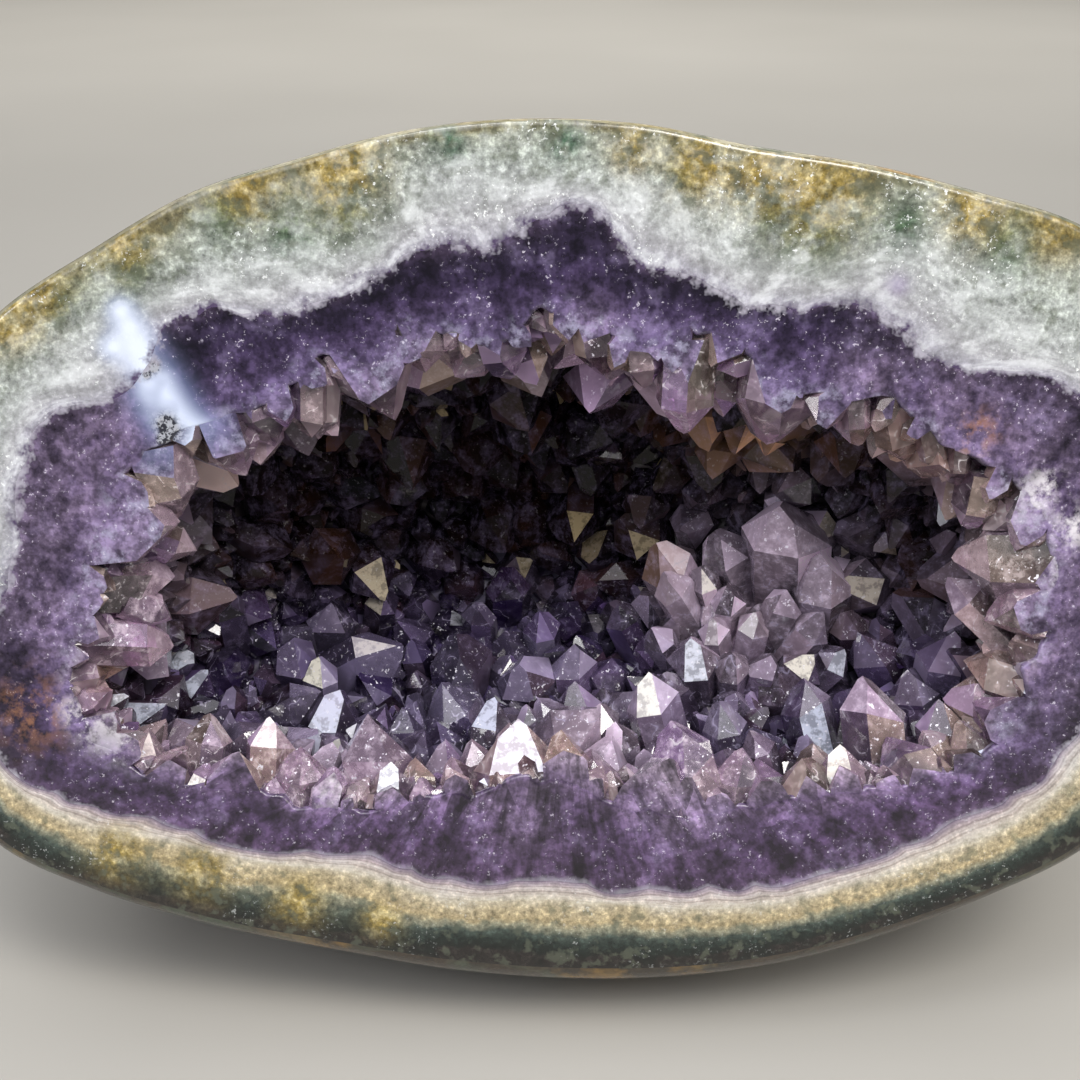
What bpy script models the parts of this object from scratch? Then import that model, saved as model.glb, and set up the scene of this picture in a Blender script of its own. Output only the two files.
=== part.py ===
# Amethyst geode, cut open and polished across the front, polished skin behind.
# Two pieces: the banded agate rind, and the amethyst crust that lines it and ends in crystal points.
# The shapes are worked out in the face's own frame, in metres: u to the right, v up the face and
# w inwards from the polished face. The face leans back, and the stone rests on a flat spot at z = 0.

import math
import random

import bmesh
import bpy
import numpy as np
from mathutils import Matrix, Vector

MM = 0.001

# Stone as a whole
FACE_LEAN = math.radians(14)  # how far the polished face leans back from upright
# Where u = v = w = 0 lies. Its height leaves 2.5 mm of the underside to be ground away for the seat
FACE_ORIGIN = Vector((-3.59, -35.27, 91.0)) * MM
OUTLINE_CENTRE = (3.2 * MM, -3.3 * MM)  # u, v of the point that the outlines are measured from
STONE_DEPTH = 96 * MM  # deepest point of the skin behind the face
SHEAR = 0.22  # the body sinks by this much for each unit of depth
LUMP_HEIGHT = 2.2 * MM
LUMP_WAVES = (23 * MM, 19 * MM, 17 * MM, 31 * MM)  # lengths of the slow waves along u, v, w and u again
LUMP_SHIFT = (1.3, 0.4)
LIP_SHARE = 0.12  # how much of the skin's rings the rounded lip takes
LUMP_CENTRE = 0.3  # the lumps rise away from this part of the depth

# Layers behind the face
RIND_AT_BACK = 14 * MM
CRUST_AT_BACK = 22 * MM
HOLLOW_SHEAR = 0.18
HOLLOW_SWELL = 4.0  # degrees: the hollow widens a little behind the face
LAYER_GAP = 0.4 * MM  # clearance between the rind and the crust
BED_SWELL = 0.7  # swell of the wall between them, over the skin's

# Outlines on the polished face: angle in degrees, counter-clockwise from +u, and radius in mm
SKIN_EDGE = {
    0: 107.5, 12: 107, 22: 103.5, 33: 95, 42: 85, 52: 77, 65: 70, 80: 68, 95: 68, 110: 70,
    123: 73.4, 134: 79.3, 146: 86.2, 157: 95.6, 168: 102.5, 180: 106.3, 194: 108, 207: 104.5,
    216: 95, 225: 86, 240: 75.6, 255: 71, 270: 70, 285: 72.5, 300: 78, 313: 84.8, 322: 91.5,
    331: 99.5, 345: 106.5,
}
AGATE_EDGE = {
    0: 91.5, 12: 91, 18: 86.5, 26: 70, 38: 62.5, 50: 52.5, 58: 49.5, 72: 49.2, 83: 54, 91: 56,
    98: 51.5, 113: 54, 128: 53.8, 139: 59.2, 146: 71, 159: 74.6, 167: 86.5, 181: 88.5, 190: 95,
    200: 98, 206: 91.5, 215: 79.5, 225: 71, 236: 62, 250: 59, 270: 55.8, 284: 59, 306: 69.3,
    320: 77, 333: 87.5, 350: 91,
}
HOLLOW_EDGE = {
    0: 79, 8: 76, 16: 66, 25: 59, 33: 51, 44: 46, 62: 42, 70: 38, 85: 40, 95: 40, 108: 38,
    120: 43, 137: 48, 158: 61, 176: 74, 188: 79, 197: 84, 211: 73, 223: 61, 245: 46, 270: 39,
    284: 43, 300: 49.5, 316: 58, 337: 79, 350: 80.5,
}

# How the skin leaves the face: rounding in mm, then swell beyond the edge in degrees, by angle
LIP_ROUND = {0: 3, 60: 2, 90: 1.5, 120: 2, 150: 2.5, 180: 3, 230: 4, 270: 5, 310: 4}
SKIN_SWELL = {0: 15, 40: 11, 90: 2, 120: 7, 150: 17, 180: 15, 225: 9, 270: 8, 315: 9}

# Mound of crystals that rises from the hollow's wall, right of the middle
MOUND_AT = Vector((38.0, -27.0, 46.0)) * MM
MOUND_RADIUS = 19 * MM
MOUND_HEIGHT = 16 * MM
MOUND_TOWARDS = 0.2  # it rises towards this part of the hollow's depth

# Crystal points
CRYSTAL_APART = 10.8 * MM  # least distance between the feet of two points
CRYSTAL_WIDTH = (10.5 * MM, 14.5 * MM)
CRYSTAL_STAND = (1.0 * MM, 4.5 * MM)  # height of the prism above the wall
CRYSTAL_ROOT = 4 * MM
TIP_SLOPE = 1.1  # height of the point over the prism's radius
CRYSTAL_LEAN = math.radians(16)
RIM_DEPTH = 5 * MM  # how far behind the face the first row of points stands
RIM_POINTS = 30
WALL_TRIES = 5000  # random places tried on the wall, which leave no bare patch
SET_APART = 25 * MM  # two points this far apart never touch
# Large points: outline angle in degrees, depth behind the face, width and stand, in mm
LARGE_POINTS = (
    (52, 5, 14, 9), (38, 4, 16, 8), (78, 5, 12, 7), (92, 5, 12, 7), (128, 5, 15, 8),
    (176, 6, 17, 7), (188, 7, 14, 7), (4, 6, 15, 7), (352, 8, 16, 7), (20, 6, 13, 7),
)

SEGMENTS = 52
SKIN_RINGS = 15
WALL_RINGS = 10
FRONT_OVERRUN = 12 * MM  # how far a cutter stands out of the face
CRUST_OVERRUN = 8 * MM  # how far the crust does before the face is cut

rng = random.Random(58)


def outline_radius(table, degrees):
    """Radius in metres at an angle: a smooth closed curve through the table's points."""
    angles = sorted(table)
    count = len(angles)
    here = degrees % 360
    first = max((i for i in range(count) if angles[i] <= here), default=count - 1)
    spots = [(first + step) % count for step in (-1, 0, 1, 2)]
    gaps = [(angles[b] - angles[a]) % 360 for a, b in zip(spots, spots[1:])]
    r0, r1, r2, r3 = (table[angles[i]] for i in spots)
    t = ((here - angles[first]) % 360) / gaps[1]
    leave = ((r1 - r0) / gaps[0] * gaps[1] + (r2 - r1)) / 2
    arrive = ((r3 - r2) / gaps[2] * gaps[1] + (r2 - r1)) / 2
    return MM * (
        (2 * t**3 - 3 * t**2 + 1) * r1
        + (t**3 - 2 * t**2 + t) * leave
        + (3 * t**2 - 2 * t**3) * r2
        + (t**3 - t**2) * arrive
    )


def to_world(u, v, w):
    """A point of the face frame in world coordinates."""
    lean_sin, lean_cos = math.sin(FACE_LEAN), math.cos(FACE_LEAN)
    return FACE_ORIGIN + Vector((u, v * lean_sin + w * lean_cos, v * lean_cos - w * lean_sin))


def dome_point(edge, degrees, share, depth, swell, shear):
    """A point behind the face: share runs from 0 at the face's edge to 1 at the deepest point.

    The section is part of an ellipse that starts swell degrees in front of its widest place."""
    swell = math.radians(swell)
    angle = math.radians(degrees)
    turn = -swell + (math.pi / 2 + swell) * share
    radius = edge * math.cos(turn) / math.cos(swell)
    w = depth * (math.sin(turn) + math.sin(swell)) / (1 + math.sin(swell))
    u = OUTLINE_CENTRE[0] + radius * math.cos(angle)
    v = OUTLINE_CENTRE[1] + radius * math.sin(angle) - shear * w
    return u, v, w


def skin_point(degrees, share):
    """The outer skin: a rounded lip along the face, then the lumpy dome."""
    lip = outline_radius(LIP_ROUND, degrees)
    edge = outline_radius(SKIN_EDGE, degrees)
    if share < LIP_SHARE:
        turn = share / LIP_SHARE * math.pi / 2
        radius = edge + lip * math.sin(turn)
        angle = math.radians(degrees)
        w = lip * (1 - math.cos(turn))
        return (
            OUTLINE_CENTRE[0] + radius * math.cos(angle),
            OUTLINE_CENTRE[1] + radius * math.sin(angle) - SHEAR * w,
            w,
        )
    along = (share - LIP_SHARE) / (1 - LIP_SHARE)
    swell = outline_radius(SKIN_SWELL, degrees) / MM
    u, v, w = dome_point(edge + lip, degrees, along, STONE_DEPTH - lip, swell, SHEAR)
    w += lip
    v -= SHEAR * lip
    across = math.sin(u / LUMP_WAVES[0] + LUMP_SHIFT[0]) * math.sin(v / LUMP_WAVES[1] + LUMP_SHIFT[1])
    wave = (across + math.sin(w / LUMP_WAVES[2] + u / LUMP_WAVES[3])) / 2
    lump = LUMP_HEIGHT * min(1.0, along * 4) * wave
    outward = Vector((u, v, w - LUMP_CENTRE * STONE_DEPTH)).normalized() * lump
    return u + outward.x, v + outward.y, w + outward.z


def bed_point(degrees, share, gap=0.0):
    """The wavy wall where the agate ends and the amethyst begins."""
    edge = outline_radius(AGATE_EDGE, degrees) - gap
    swell = BED_SWELL * outline_radius(SKIN_SWELL, degrees) / MM
    return dome_point(edge, degrees, share, STONE_DEPTH - RIND_AT_BACK - gap, swell, SHEAR)


def hollow_point(degrees, share):
    """The wall that the crystal points stand on, with the mound raised out of it."""
    depth = STONE_DEPTH - RIND_AT_BACK - CRUST_AT_BACK
    edge = outline_radius(HOLLOW_EDGE, degrees)
    spot = Vector(dome_point(edge, degrees, share, depth, HOLLOW_SWELL, HOLLOW_SHEAR))
    inwards = Vector((*OUTLINE_CENTRE, MOUND_TOWARDS * depth)) - spot
    rise = MOUND_HEIGHT * math.exp(-(((spot - MOUND_AT).length / MOUND_RADIUS) ** 2))
    return tuple(spot + inwards.normalized() * rise)


def face_outwards(bm):
    bm.normal_update()
    bmesh.ops.recalc_face_normals(bm, faces=bm.faces)


def collection_named(name):
    made = bpy.data.collections.new(name)
    bpy.context.scene.collection.children.link(made)
    return made


def material_named(name, colour, roughness, transmission=0.0):
    made = bpy.data.materials.new(name)
    made.use_nodes = True
    shader = made.node_tree.nodes["Principled BSDF"]
    shader.inputs["Base Color"].default_value = (*colour, 1)
    shader.inputs["Roughness"].default_value = roughness
    shader.inputs["Metallic"].default_value = 0.0
    shader.inputs["Transmission Weight"].default_value = transmission
    shader.inputs["IOR"].default_value = 1.544
    made.diffuse_color = (*colour, 1)
    return made


def add_object(name, bm, collection, material=None):
    mesh = bpy.data.meshes.new(name)
    bm.to_mesh(mesh)
    bm.free()
    made = bpy.data.objects.new(name, mesh)
    collection.objects.link(made)
    if material:
        mesh.materials.append(material)
    else:
        made.hide_render = True
        made.display_type = "WIRE"
    return made


def shaped_sphere(rings, wall_point, front):
    """A sphere with its poles along w, drawn out into a wall and closed in front at w = -front."""
    bm = bmesh.new()
    bmesh.ops.create_uvsphere(bm, u_segments=SEGMENTS, v_segments=rings, radius=1.0)
    first_ring = 2 if front else 1
    for vert in bm.verts:
        ring = round(math.acos(max(-1.0, min(1.0, vert.co.z))) / math.pi * rings)
        degrees = math.degrees(math.atan2(vert.co.y, vert.co.x))
        if ring == 0:
            spot = (*OUTLINE_CENTRE, -front)
        elif ring < first_ring:
            u, v, _ = wall_point(degrees, 0.0)
            spot = (u, v, -front)
        elif ring == rings:
            spot = wall_point(0.0, 1.0)
        else:
            spot = wall_point(degrees, (ring - first_ring) / (rings - first_ring))
        vert.co = to_world(*spot)
    face_outwards(bm)
    return bm


def add_crystal(bm, foot, direction, width, stand):
    """A six-sided prism with a six-sided point, rooted below the wall."""
    roll = Matrix.Rotation(rng.uniform(0, math.pi / 3), 4, "Z")
    squeeze = Matrix.Diagonal((1.0, rng.uniform(0.8, 1.0), 1.0, 1.0))
    height = CRYSTAL_ROOT + stand
    turned = direction.to_track_quat("Z", "Y").to_matrix().to_4x4()
    middle = foot + direction * (height / 2 - CRYSTAL_ROOT)
    made = bmesh.ops.create_cone(
        bm, cap_ends=True, cap_tris=False, segments=6, radius1=width / 2, radius2=width / 2,
        depth=height, matrix=Matrix.Translation(middle) @ turned @ roll @ squeeze,
    )
    caps = {face for vert in made["verts"] for face in vert.link_faces if len(face.verts) == 6}
    top = max(caps, key=lambda face: face.calc_center_median().dot(direction))
    top.normal_update()
    if top.normal.dot(direction) < 0:
        top.normal_flip()
    bmesh.ops.poke(bm, faces=[top], offset=TIP_SLOPE * width / 2)


def wall_frame(degrees, share):
    """The place on the hollow's wall and the direction out of the wall, in world coordinates."""
    step = 0.01
    here = to_world(*hollow_point(degrees, share))
    along = to_world(*hollow_point(degrees, min(1.0, share + step)))
    along -= to_world(*hollow_point(degrees, max(0.0, share - step)))
    across = to_world(*hollow_point(degrees + 1, share)) - to_world(*hollow_point(degrees - 1, share))
    out = across.cross(along).normalized()
    middle = to_world(*OUTLINE_CENTRE, 0.02)
    return here, out if out.dot(middle - here) > 0 else -out


def leaning(direction):
    """The direction turned by a random angle."""
    side = Vector([rng.uniform(-1, 1) for _ in range(3)]).cross(direction).normalized()
    return (direction + side * math.tan(CRYSTAL_LEAN) * rng.random()).normalized()


def share_at_depth(degrees, depth):
    """How far along the wall a given depth behind the face lies."""
    shares = np.linspace(0, 1, 101)
    depths = [hollow_point(degrees, share)[2] for share in shares]
    return float(np.interp(depth, depths[:60], shares[:60]))


def crystal_points():
    """Every point as foot, direction, width and stand: the large ones, the rim's, then the wall's."""
    points = []
    for degrees, depth, width, stand in LARGE_POINTS:
        foot, out = wall_frame(degrees, share_at_depth(degrees, depth * MM))
        points.append((foot, out, width * MM, stand * MM))
    rim = [(360 * i / RIM_POINTS, RIM_DEPTH) for i in range(RIM_POINTS)]
    places = [(degrees, share_at_depth(degrees, depth)) for degrees, depth in rim]
    rim_share = share_at_depth(0, RIM_DEPTH)
    places += [(rng.uniform(0, 360), rng.uniform(rim_share, 1)) for _ in range(WALL_TRIES)]
    for degrees, share in places:
        foot = to_world(*hollow_point(degrees, share))
        if all((foot - other[0]).length > CRYSTAL_APART for other in points):
            direction = leaning(wall_frame(degrees, share)[1])
            size = rng.uniform(*CRYSTAL_WIDTH), rng.uniform(*CRYSTAL_STAND)
            points.append((foot, direction, *size))
    return points


def crystal_sets(points):
    """The points shared out so that no two in one set touch, as one mesh for each set."""
    sets = []
    for point in points:
        for chosen in sets:
            if all((point[0] - other[0]).length > SET_APART for other in chosen):
                break
        else:
            chosen = []
            sets.append(chosen)
        chosen.append(point)
    for chosen in sets:
        bm = bmesh.new()
        for point in chosen:
            add_crystal(bm, *point)
        face_outwards(bm)
        yield bm


def front_block():
    """Everything in front of the polished face."""
    bm = bmesh.new()
    bmesh.ops.create_cube(bm, size=1.0)
    width, thickness = 0.3, 0.05
    for vert in bm.verts:
        vert.co = to_world(vert.co.x * width, vert.co.y * width, (vert.co.z - 0.5) * thickness)
    face_outwards(bm)
    return bm


def seat_block():
    """Everything below the flat spot."""
    bm = bmesh.new()
    side, thickness = 0.4, 0.05
    place = Matrix.Translation((0, 0, -thickness / 2)) @ Matrix.Diagonal((side, side, thickness, 1))
    bmesh.ops.create_cube(bm, size=1.0, matrix=place)
    return bm


def add_boolean(obj, operation, other, solver="EXACT"):
    made = obj.modifiers.new(other.name, "BOOLEAN")
    made.operation = operation
    made.solver = solver
    made.object = other


def build_rind(parts, cutters):
    agate = material_named("polished agate", (0.55, 0.55, 0.48), 0.12)
    rind = add_object("rind", shaped_sphere(SKIN_RINGS, skin_point, 0.0), parts, agate)
    bed = add_object("bed cutter", shaped_sphere(WALL_RINGS, bed_point, FRONT_OVERRUN), cutters)
    seat = add_object("seat cutter", seat_block(), cutters)
    add_boolean(rind, "DIFFERENCE", bed)
    add_boolean(rind, "DIFFERENCE", seat)


def build_crust(parts, cutters):
    amethyst = material_named("amethyst", (0.16, 0.07, 0.34), 0.08, 0.6)
    shrunk_bed = lambda degrees, share: bed_point(degrees, share, LAYER_GAP)
    body = shaped_sphere(WALL_RINGS, shrunk_bed, CRUST_OVERRUN)
    crust = add_object("crust", body, parts, amethyst)
    hollow = add_object(
        "hollow cutter", shaped_sphere(WALL_RINGS, hollow_point, FRONT_OVERRUN), cutters
    )
    front = add_object("front cutter", front_block(), cutters)
    # Points that lean into one another leave thin slivers, which MANIFOLD keeps closed
    add_boolean(crust, "DIFFERENCE", hollow, "MANIFOLD")
    for number, bm in enumerate(crystal_sets(crystal_points())):
        points = add_object(f"crystal points {number}", bm, cutters)
        add_boolean(crust, "UNION", points, "MANIFOLD")
    add_boolean(crust, "DIFFERENCE", front, "MANIFOLD")


def main():
    for obj in list(bpy.data.objects):
        bpy.data.objects.remove(obj, do_unlink=True)
    parts = collection_named("amethyst geode")
    cutters = collection_named("cutters")
    build_rind(parts, cutters)
    build_crust(parts, cutters)


main()
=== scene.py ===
# Amethyst geode, cut open and polished across the front, on a plain pale floor.
# Sizes are in millimetres until toWorld turns them into metres. The face has its own frame:
# u to the right, v up the face and w inwards, away from whoever looks at it.
import math
from functools import partial
import bmesh
import bpy
import numpy as np
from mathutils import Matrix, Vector


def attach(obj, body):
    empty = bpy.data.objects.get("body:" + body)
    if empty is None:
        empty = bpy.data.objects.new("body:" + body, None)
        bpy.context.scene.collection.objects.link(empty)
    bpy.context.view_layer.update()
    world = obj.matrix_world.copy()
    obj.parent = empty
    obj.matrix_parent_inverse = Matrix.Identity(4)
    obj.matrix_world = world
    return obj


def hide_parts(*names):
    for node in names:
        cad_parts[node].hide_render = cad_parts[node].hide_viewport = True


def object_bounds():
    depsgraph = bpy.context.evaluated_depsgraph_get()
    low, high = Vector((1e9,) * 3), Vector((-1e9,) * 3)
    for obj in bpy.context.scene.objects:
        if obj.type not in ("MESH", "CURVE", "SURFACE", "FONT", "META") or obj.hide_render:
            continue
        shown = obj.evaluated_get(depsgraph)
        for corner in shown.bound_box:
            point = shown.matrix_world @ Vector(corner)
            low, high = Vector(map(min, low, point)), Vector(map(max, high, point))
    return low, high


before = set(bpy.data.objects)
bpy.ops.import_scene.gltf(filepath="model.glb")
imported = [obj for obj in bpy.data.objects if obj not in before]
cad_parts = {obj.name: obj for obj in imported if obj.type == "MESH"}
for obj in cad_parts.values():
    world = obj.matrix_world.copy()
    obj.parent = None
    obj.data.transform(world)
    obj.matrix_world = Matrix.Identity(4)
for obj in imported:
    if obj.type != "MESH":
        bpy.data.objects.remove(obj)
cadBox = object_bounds()
mm = 0.001

face = {
    "origin": (-3.59, -35.27, 91.0),  # where u = v = w = 0 lies
    "lean": math.radians(14),         # how far the face leans back
    "centre": (3.2, -3.3),            # u, v that every outline is measured from
    "columns": 600,                   # grid columns round each layer
    "sharp": math.radians(45),        # edges that turn more than this stay sharp
}
# for random numbers that a place or a plane settles
hashPrimes = (73856093, 19349663, 83492791, 49979687)
hashSize = 8192
farAway = 30.0  # mm from the border between agate and amethyst, where it has no say
angle = np.linspace(0, 360, face["columns"], endpoint=False)


def toWorld(points):
    # the face leans back: y = v sin + w cos, z = v cos - w sin, all from the face's origin
    u, v, w = points[..., 0], points[..., 1], points[..., 2]
    s, c = math.sin(face["lean"]), math.cos(face["lean"])
    return (np.stack([u, v * s + w * c, v * c - w * s], -1) + face["origin"]) * mm


def curveThrough(table, degrees):
    # periodic cubic through angle: value, each slope taken from the two neighbours
    at = np.array(sorted(table), float)
    value = np.array([table[key] for key in sorted(table)], float)
    here = np.asarray(degrees, float) % 360
    i1 = (np.searchsorted(at, here, side="right") - 1) % len(at)
    i0, i2, i3 = (i1 - 1) % len(at), (i1 + 1) % len(at), (i1 + 2) % len(at)
    before, gap, after = (at[i1] - at[i0]) % 360, (at[i2] - at[i1]) % 360, (at[i3] - at[i2]) % 360
    t = ((here - at[i1]) % 360) / gap
    rise = value[i2] - value[i1]
    leave = ((value[i1] - value[i0]) * gap / before + rise) / 2
    arrive = ((value[i3] - value[i2]) * gap / after + rise) / 2
    return (value[i1] + t * leave + t**2 * (3 * rise - 2 * leave - arrive)
            + t**3 * (leave + arrive - 2 * rise))


def smoothNoise(points, size, seed):
    # random numbers on a lattice of that size, blended by smooth steps; 0 to 1
    table = np.random.default_rng(seed).random(hashSize)
    cell = np.floor(points / size).astype(np.int64)
    part = points / size - cell
    part = part * part * (3 - 2 * part)
    total = np.zeros(points.shape[:-1])
    for corner in np.ndindex(2, 2, 2):
        spot = cell + corner
        mixed = spot * hashPrimes[:3]
        index = mixed[..., 0] ^ mixed[..., 1] ^ mixed[..., 2]
        weight = np.where(np.array(corner) == 1, part, 1 - part).prod(-1)
        total += weight * table[index % hashSize]
    return total


def putMesh(name, points, corners, sizes):
    # a mesh from points in metres, with every face's corners in one row and the number in each face
    mesh = bpy.data.meshes.new(name)
    mesh.vertices.add(len(points))
    mesh.vertices.foreach_set("co", np.ascontiguousarray(points, np.float32).ravel())
    mesh.loops.add(len(corners))
    mesh.loops.foreach_set("vertex_index", np.ascontiguousarray(corners, np.int32))
    mesh.polygons.add(len(sizes))
    starts = np.r_[0, np.cumsum(sizes)[:-1]]
    mesh.polygons.foreach_set("loop_start", starts.astype(np.int32))
    mesh.polygons.foreach_set("loop_total", np.ascontiguousarray(sizes, np.int32))
    mesh.update(calc_edges=True)
    bm = bmesh.new()
    bm.from_mesh(mesh)
    if bm.calc_volume(signed=True) < 0:
        bmesh.ops.reverse_faces(bm, faces=bm.faces)
        bm.to_mesh(mesh)
    bm.free()
    piece = bpy.data.objects.new(name, mesh)
    bpy.context.scene.collection.objects.link(piece)
    return piece


def addValues(mesh, name, values, domain):
    # one number or one vector for each point or face
    kind, key = ("FLOAT", "value") if values.ndim == 1 else ("FLOAT_VECTOR", "vector")
    made = mesh.attributes.new(name, kind, domain)
    made.data.foreach_set(key, values.astype(np.float32).ravel())


def putRings(name, rings, values):
    # a closed surface of rings round the outline, drawn together to one point at each end
    rows, columns = rings.shape[:2]
    points = np.concatenate([rings[:1, 0], rings[1:-1].reshape(-1, 3), rings[-1:, 0]])
    i, j = np.meshgrid(np.arange(rows - 3), np.arange(columns), indexing="ij")
    a, b = 1 + i * columns + j, 1 + i * columns + (j + 1) % columns
    quads = np.stack([a, b, b + columns, a + columns], -1).reshape(-1)
    j = np.arange(columns)
    last = 1 + (rows - 3) * columns
    fanIn = np.stack([0 * j, 1 + (j + 1) % columns, 1 + j], -1).reshape(-1)
    fanOut = np.stack([0 * j + len(points) - 1, last + j, last + (j + 1) % columns], -1).reshape(-1)
    corners = np.concatenate([quads, fanIn, fanOut])
    sizes = np.r_[np.full(len(quads) // 4, 4), np.full(2 * columns, 3)]
    piece = putMesh(name, toWorld(points), corners, sizes)
    for key, grid in values.items():
        flat = np.concatenate([grid[:1, 0], grid[1:-1].reshape((-1,) + grid.shape[2:]), grid[-1:, 0]])
        addValues(piece.data, key, flat, "POINT")
    piece.data.shade_smooth()
    piece.data.set_sharp_from_angle(angle=face["sharp"])
    return piece


def polar(radius, degrees, w, shear=0.0):
    # points at a radius from the outlines' centre, sunk by the shear times the depth
    turn = np.radians(degrees)
    u = face["centre"][0] + radius * np.cos(turn)
    v = face["centre"][1] + radius * np.sin(turn) - shear * w
    return np.stack([u, v, w + 0 * u], -1)


def dome(edge, degrees, share, depth, swell, shear):
    # part of an ellipse carried round the outline: radius goes with cos t and depth with sin t,
    # from t = -swell at the edge, share 0, to t = 90 degrees at the deepest point, share 1
    swell = np.radians(swell)
    t = -swell + (np.pi / 2 + swell) * share
    radius = edge * np.cos(t) / np.cos(swell)
    w = depth * (np.sin(t) + np.sin(swell)) / (1 + np.sin(swell))
    return polar(radius, degrees, w, shear)


def smoothStep(low, high, x):
    # 0 up to low, 1 from high, and 3 t squared less 2 t cubed between them
    t = np.clip((x - low) / (high - low), 0, 1)
    return t * t * (3 - 2 * t)


def fromWorld(points):
    # toWorld turned round: the face's own millimetres of points in metres
    s, c = math.sin(face["lean"]), math.cos(face["lean"])
    x, y, z = np.moveaxis(points / mm - face["origin"], -1, 0)
    return np.stack([x, y * s + z * c, y * c - z * s], -1)


def patches(points, spots):
    # 1 at the middle of each spot (u, v, w, radius), falling away as a bell curve; spots that
    # overlap run together
    rest = np.ones(points.shape[:-1])
    for *middle, radius in spots:
        away = ((points - middle) ** 2).sum(-1)
        rest *= 1 - np.exp(-away / radius**2)
    return 1 - rest


def onFace(spots):
    # spots given as u, v, radius on the polished face
    return [(u, v, 0, radius) for u, v, radius in spots]


def between(angles, degrees):
    # rises from 0 to 1 over the first two angles, and falls back to 0 over the last two
    start, full, still, end = angles
    return smoothStep(start, full, degrees) * (1 - smoothStep(still, end, degrees))


# Outlines on the polished face: angle in degrees, counter-clockwise from +u: radius in mm
skinEdge = {
    0: 107.5, 12: 107, 22: 103.5, 33: 95, 42: 85, 52: 77, 65: 70, 80: 68, 95: 68, 110: 70,
    123: 73.4, 134: 79.3, 146: 86.2, 157: 95.6, 168: 102.5, 180: 106.3, 194: 108, 207: 104.5,
    216: 95, 225: 86, 240: 75.6, 255: 71, 270: 70, 285: 72.5, 300: 78, 313: 84.8, 322: 91.5,
    331: 99.5, 345: 106.5,
}
milkEdge = {  # where the green-grey or ochre agate turns milky white
    0: 100, 12: 97, 23: 88.3, 31: 80.1, 36: 76.9, 44: 73, 48: 66.6, 53: 61.6, 58: 58.4, 64: 57.1,
    72: 60.4, 90: 60.5, 99: 62, 105: 63.9, 110: 63.6, 118: 59.9, 130: 63.5, 134: 66.7, 141: 72.6,
    150: 81.3, 158: 88.5, 170: 95, 180: 97.5, 192: 101.5, 200: 101.5, 208: 95, 216: 83, 226: 73,
    236: 65.5, 250: 62.6, 270: 59.4, 284: 62.6, 306: 73, 320: 81, 333: 92, 350: 96,
}
agateEdge = {  # where the agate ends and the amethyst begins
    0: 91.5, 12: 91, 18: 86.5, 22: 79.7, 27: 68.6, 32: 66.2, 40: 62.7, 47: 54.8, 58: 49.3,
    65: 50.3, 77: 49.2, 84: 54.9, 90: 56, 95: 53.2, 99: 51.4, 104: 51.5, 114: 54.1, 126: 53.3,
    133: 56.9, 139: 59.2, 143: 66.5, 147: 70.9, 153: 72.5, 159: 74.6, 164: 84.8, 169: 86.9,
    180: 88.2, 186: 92.7, 192: 96.7, 200: 99.5, 206: 92.8, 213: 82, 218: 77.2, 224: 72.4,
    235: 62.1, 250: 59.1, 260: 57.4, 270: 55.6, 277: 57.8, 293: 62.2, 306: 69.3, 319: 76.3,
    325: 80, 333: 87, 341: 91, 350: 91.2,
}
hollowEdge = {  # where the polish ends and the crystal points begin
    0: 78.5, 8: 75, 16: 64.6, 26: 57.9, 35: 47, 44: 44, 52: 44.4, 62: 40, 68: 36, 75: 36,
    86: 39.5, 95: 39, 104: 36, 111: 37, 120: 43.4, 130: 42, 137: 47, 149: 51, 159: 60, 168: 70,
    180: 75, 187: 78, 197: 84.5, 204: 80, 211: 73.5, 223: 60.5, 237: 49.5, 256: 40.5, 270: 38,
    284: 42, 300: 48.5, 316: 57, 324: 66, 337: 79, 350: 80,
}
lipRound = {0: 3, 60: 2, 90: 1.5, 120: 2, 150: 2.5, 180: 3, 230: 4, 270: 5, 310: 4}
skinSwell = {0: 15, 40: 11, 90: 2, 120: 7, 150: 17, 180: 15, 225: 9, 270: 8, 315: 9}

stone = {
    "depth": 96, "shear": 0.22,            # deepest skin behind the face, and how far it sinks
    "rindAtBack": 14, "crustAtBack": 22,
    "bedSwell": 0.7,                       # over the skin's own
    "hollowShear": 0.18, "hollowSwell": 4,
    "lump": 2.2, "ripple": 0.35,           # height of the skin's slow and fine waves
    "core": 0.3,                           # share of the depth that the waves rise away from
    "lipRows": 9,
    "lobe": (3.4, 4.0, 1.1),               # of the amethyst's outline: length, sway and height
    "ragged": ((4.2, 5.5, 7), (1.8, 2.2, 8)),  # the hollow's outline: height, size, seed of the noise
    "mound": ((38, -27, 46), 19, 16),      # where crystals pile up in the hollow: place, radius, height
    "seam": 0.02,                          # between the rind and the crust
}


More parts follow.
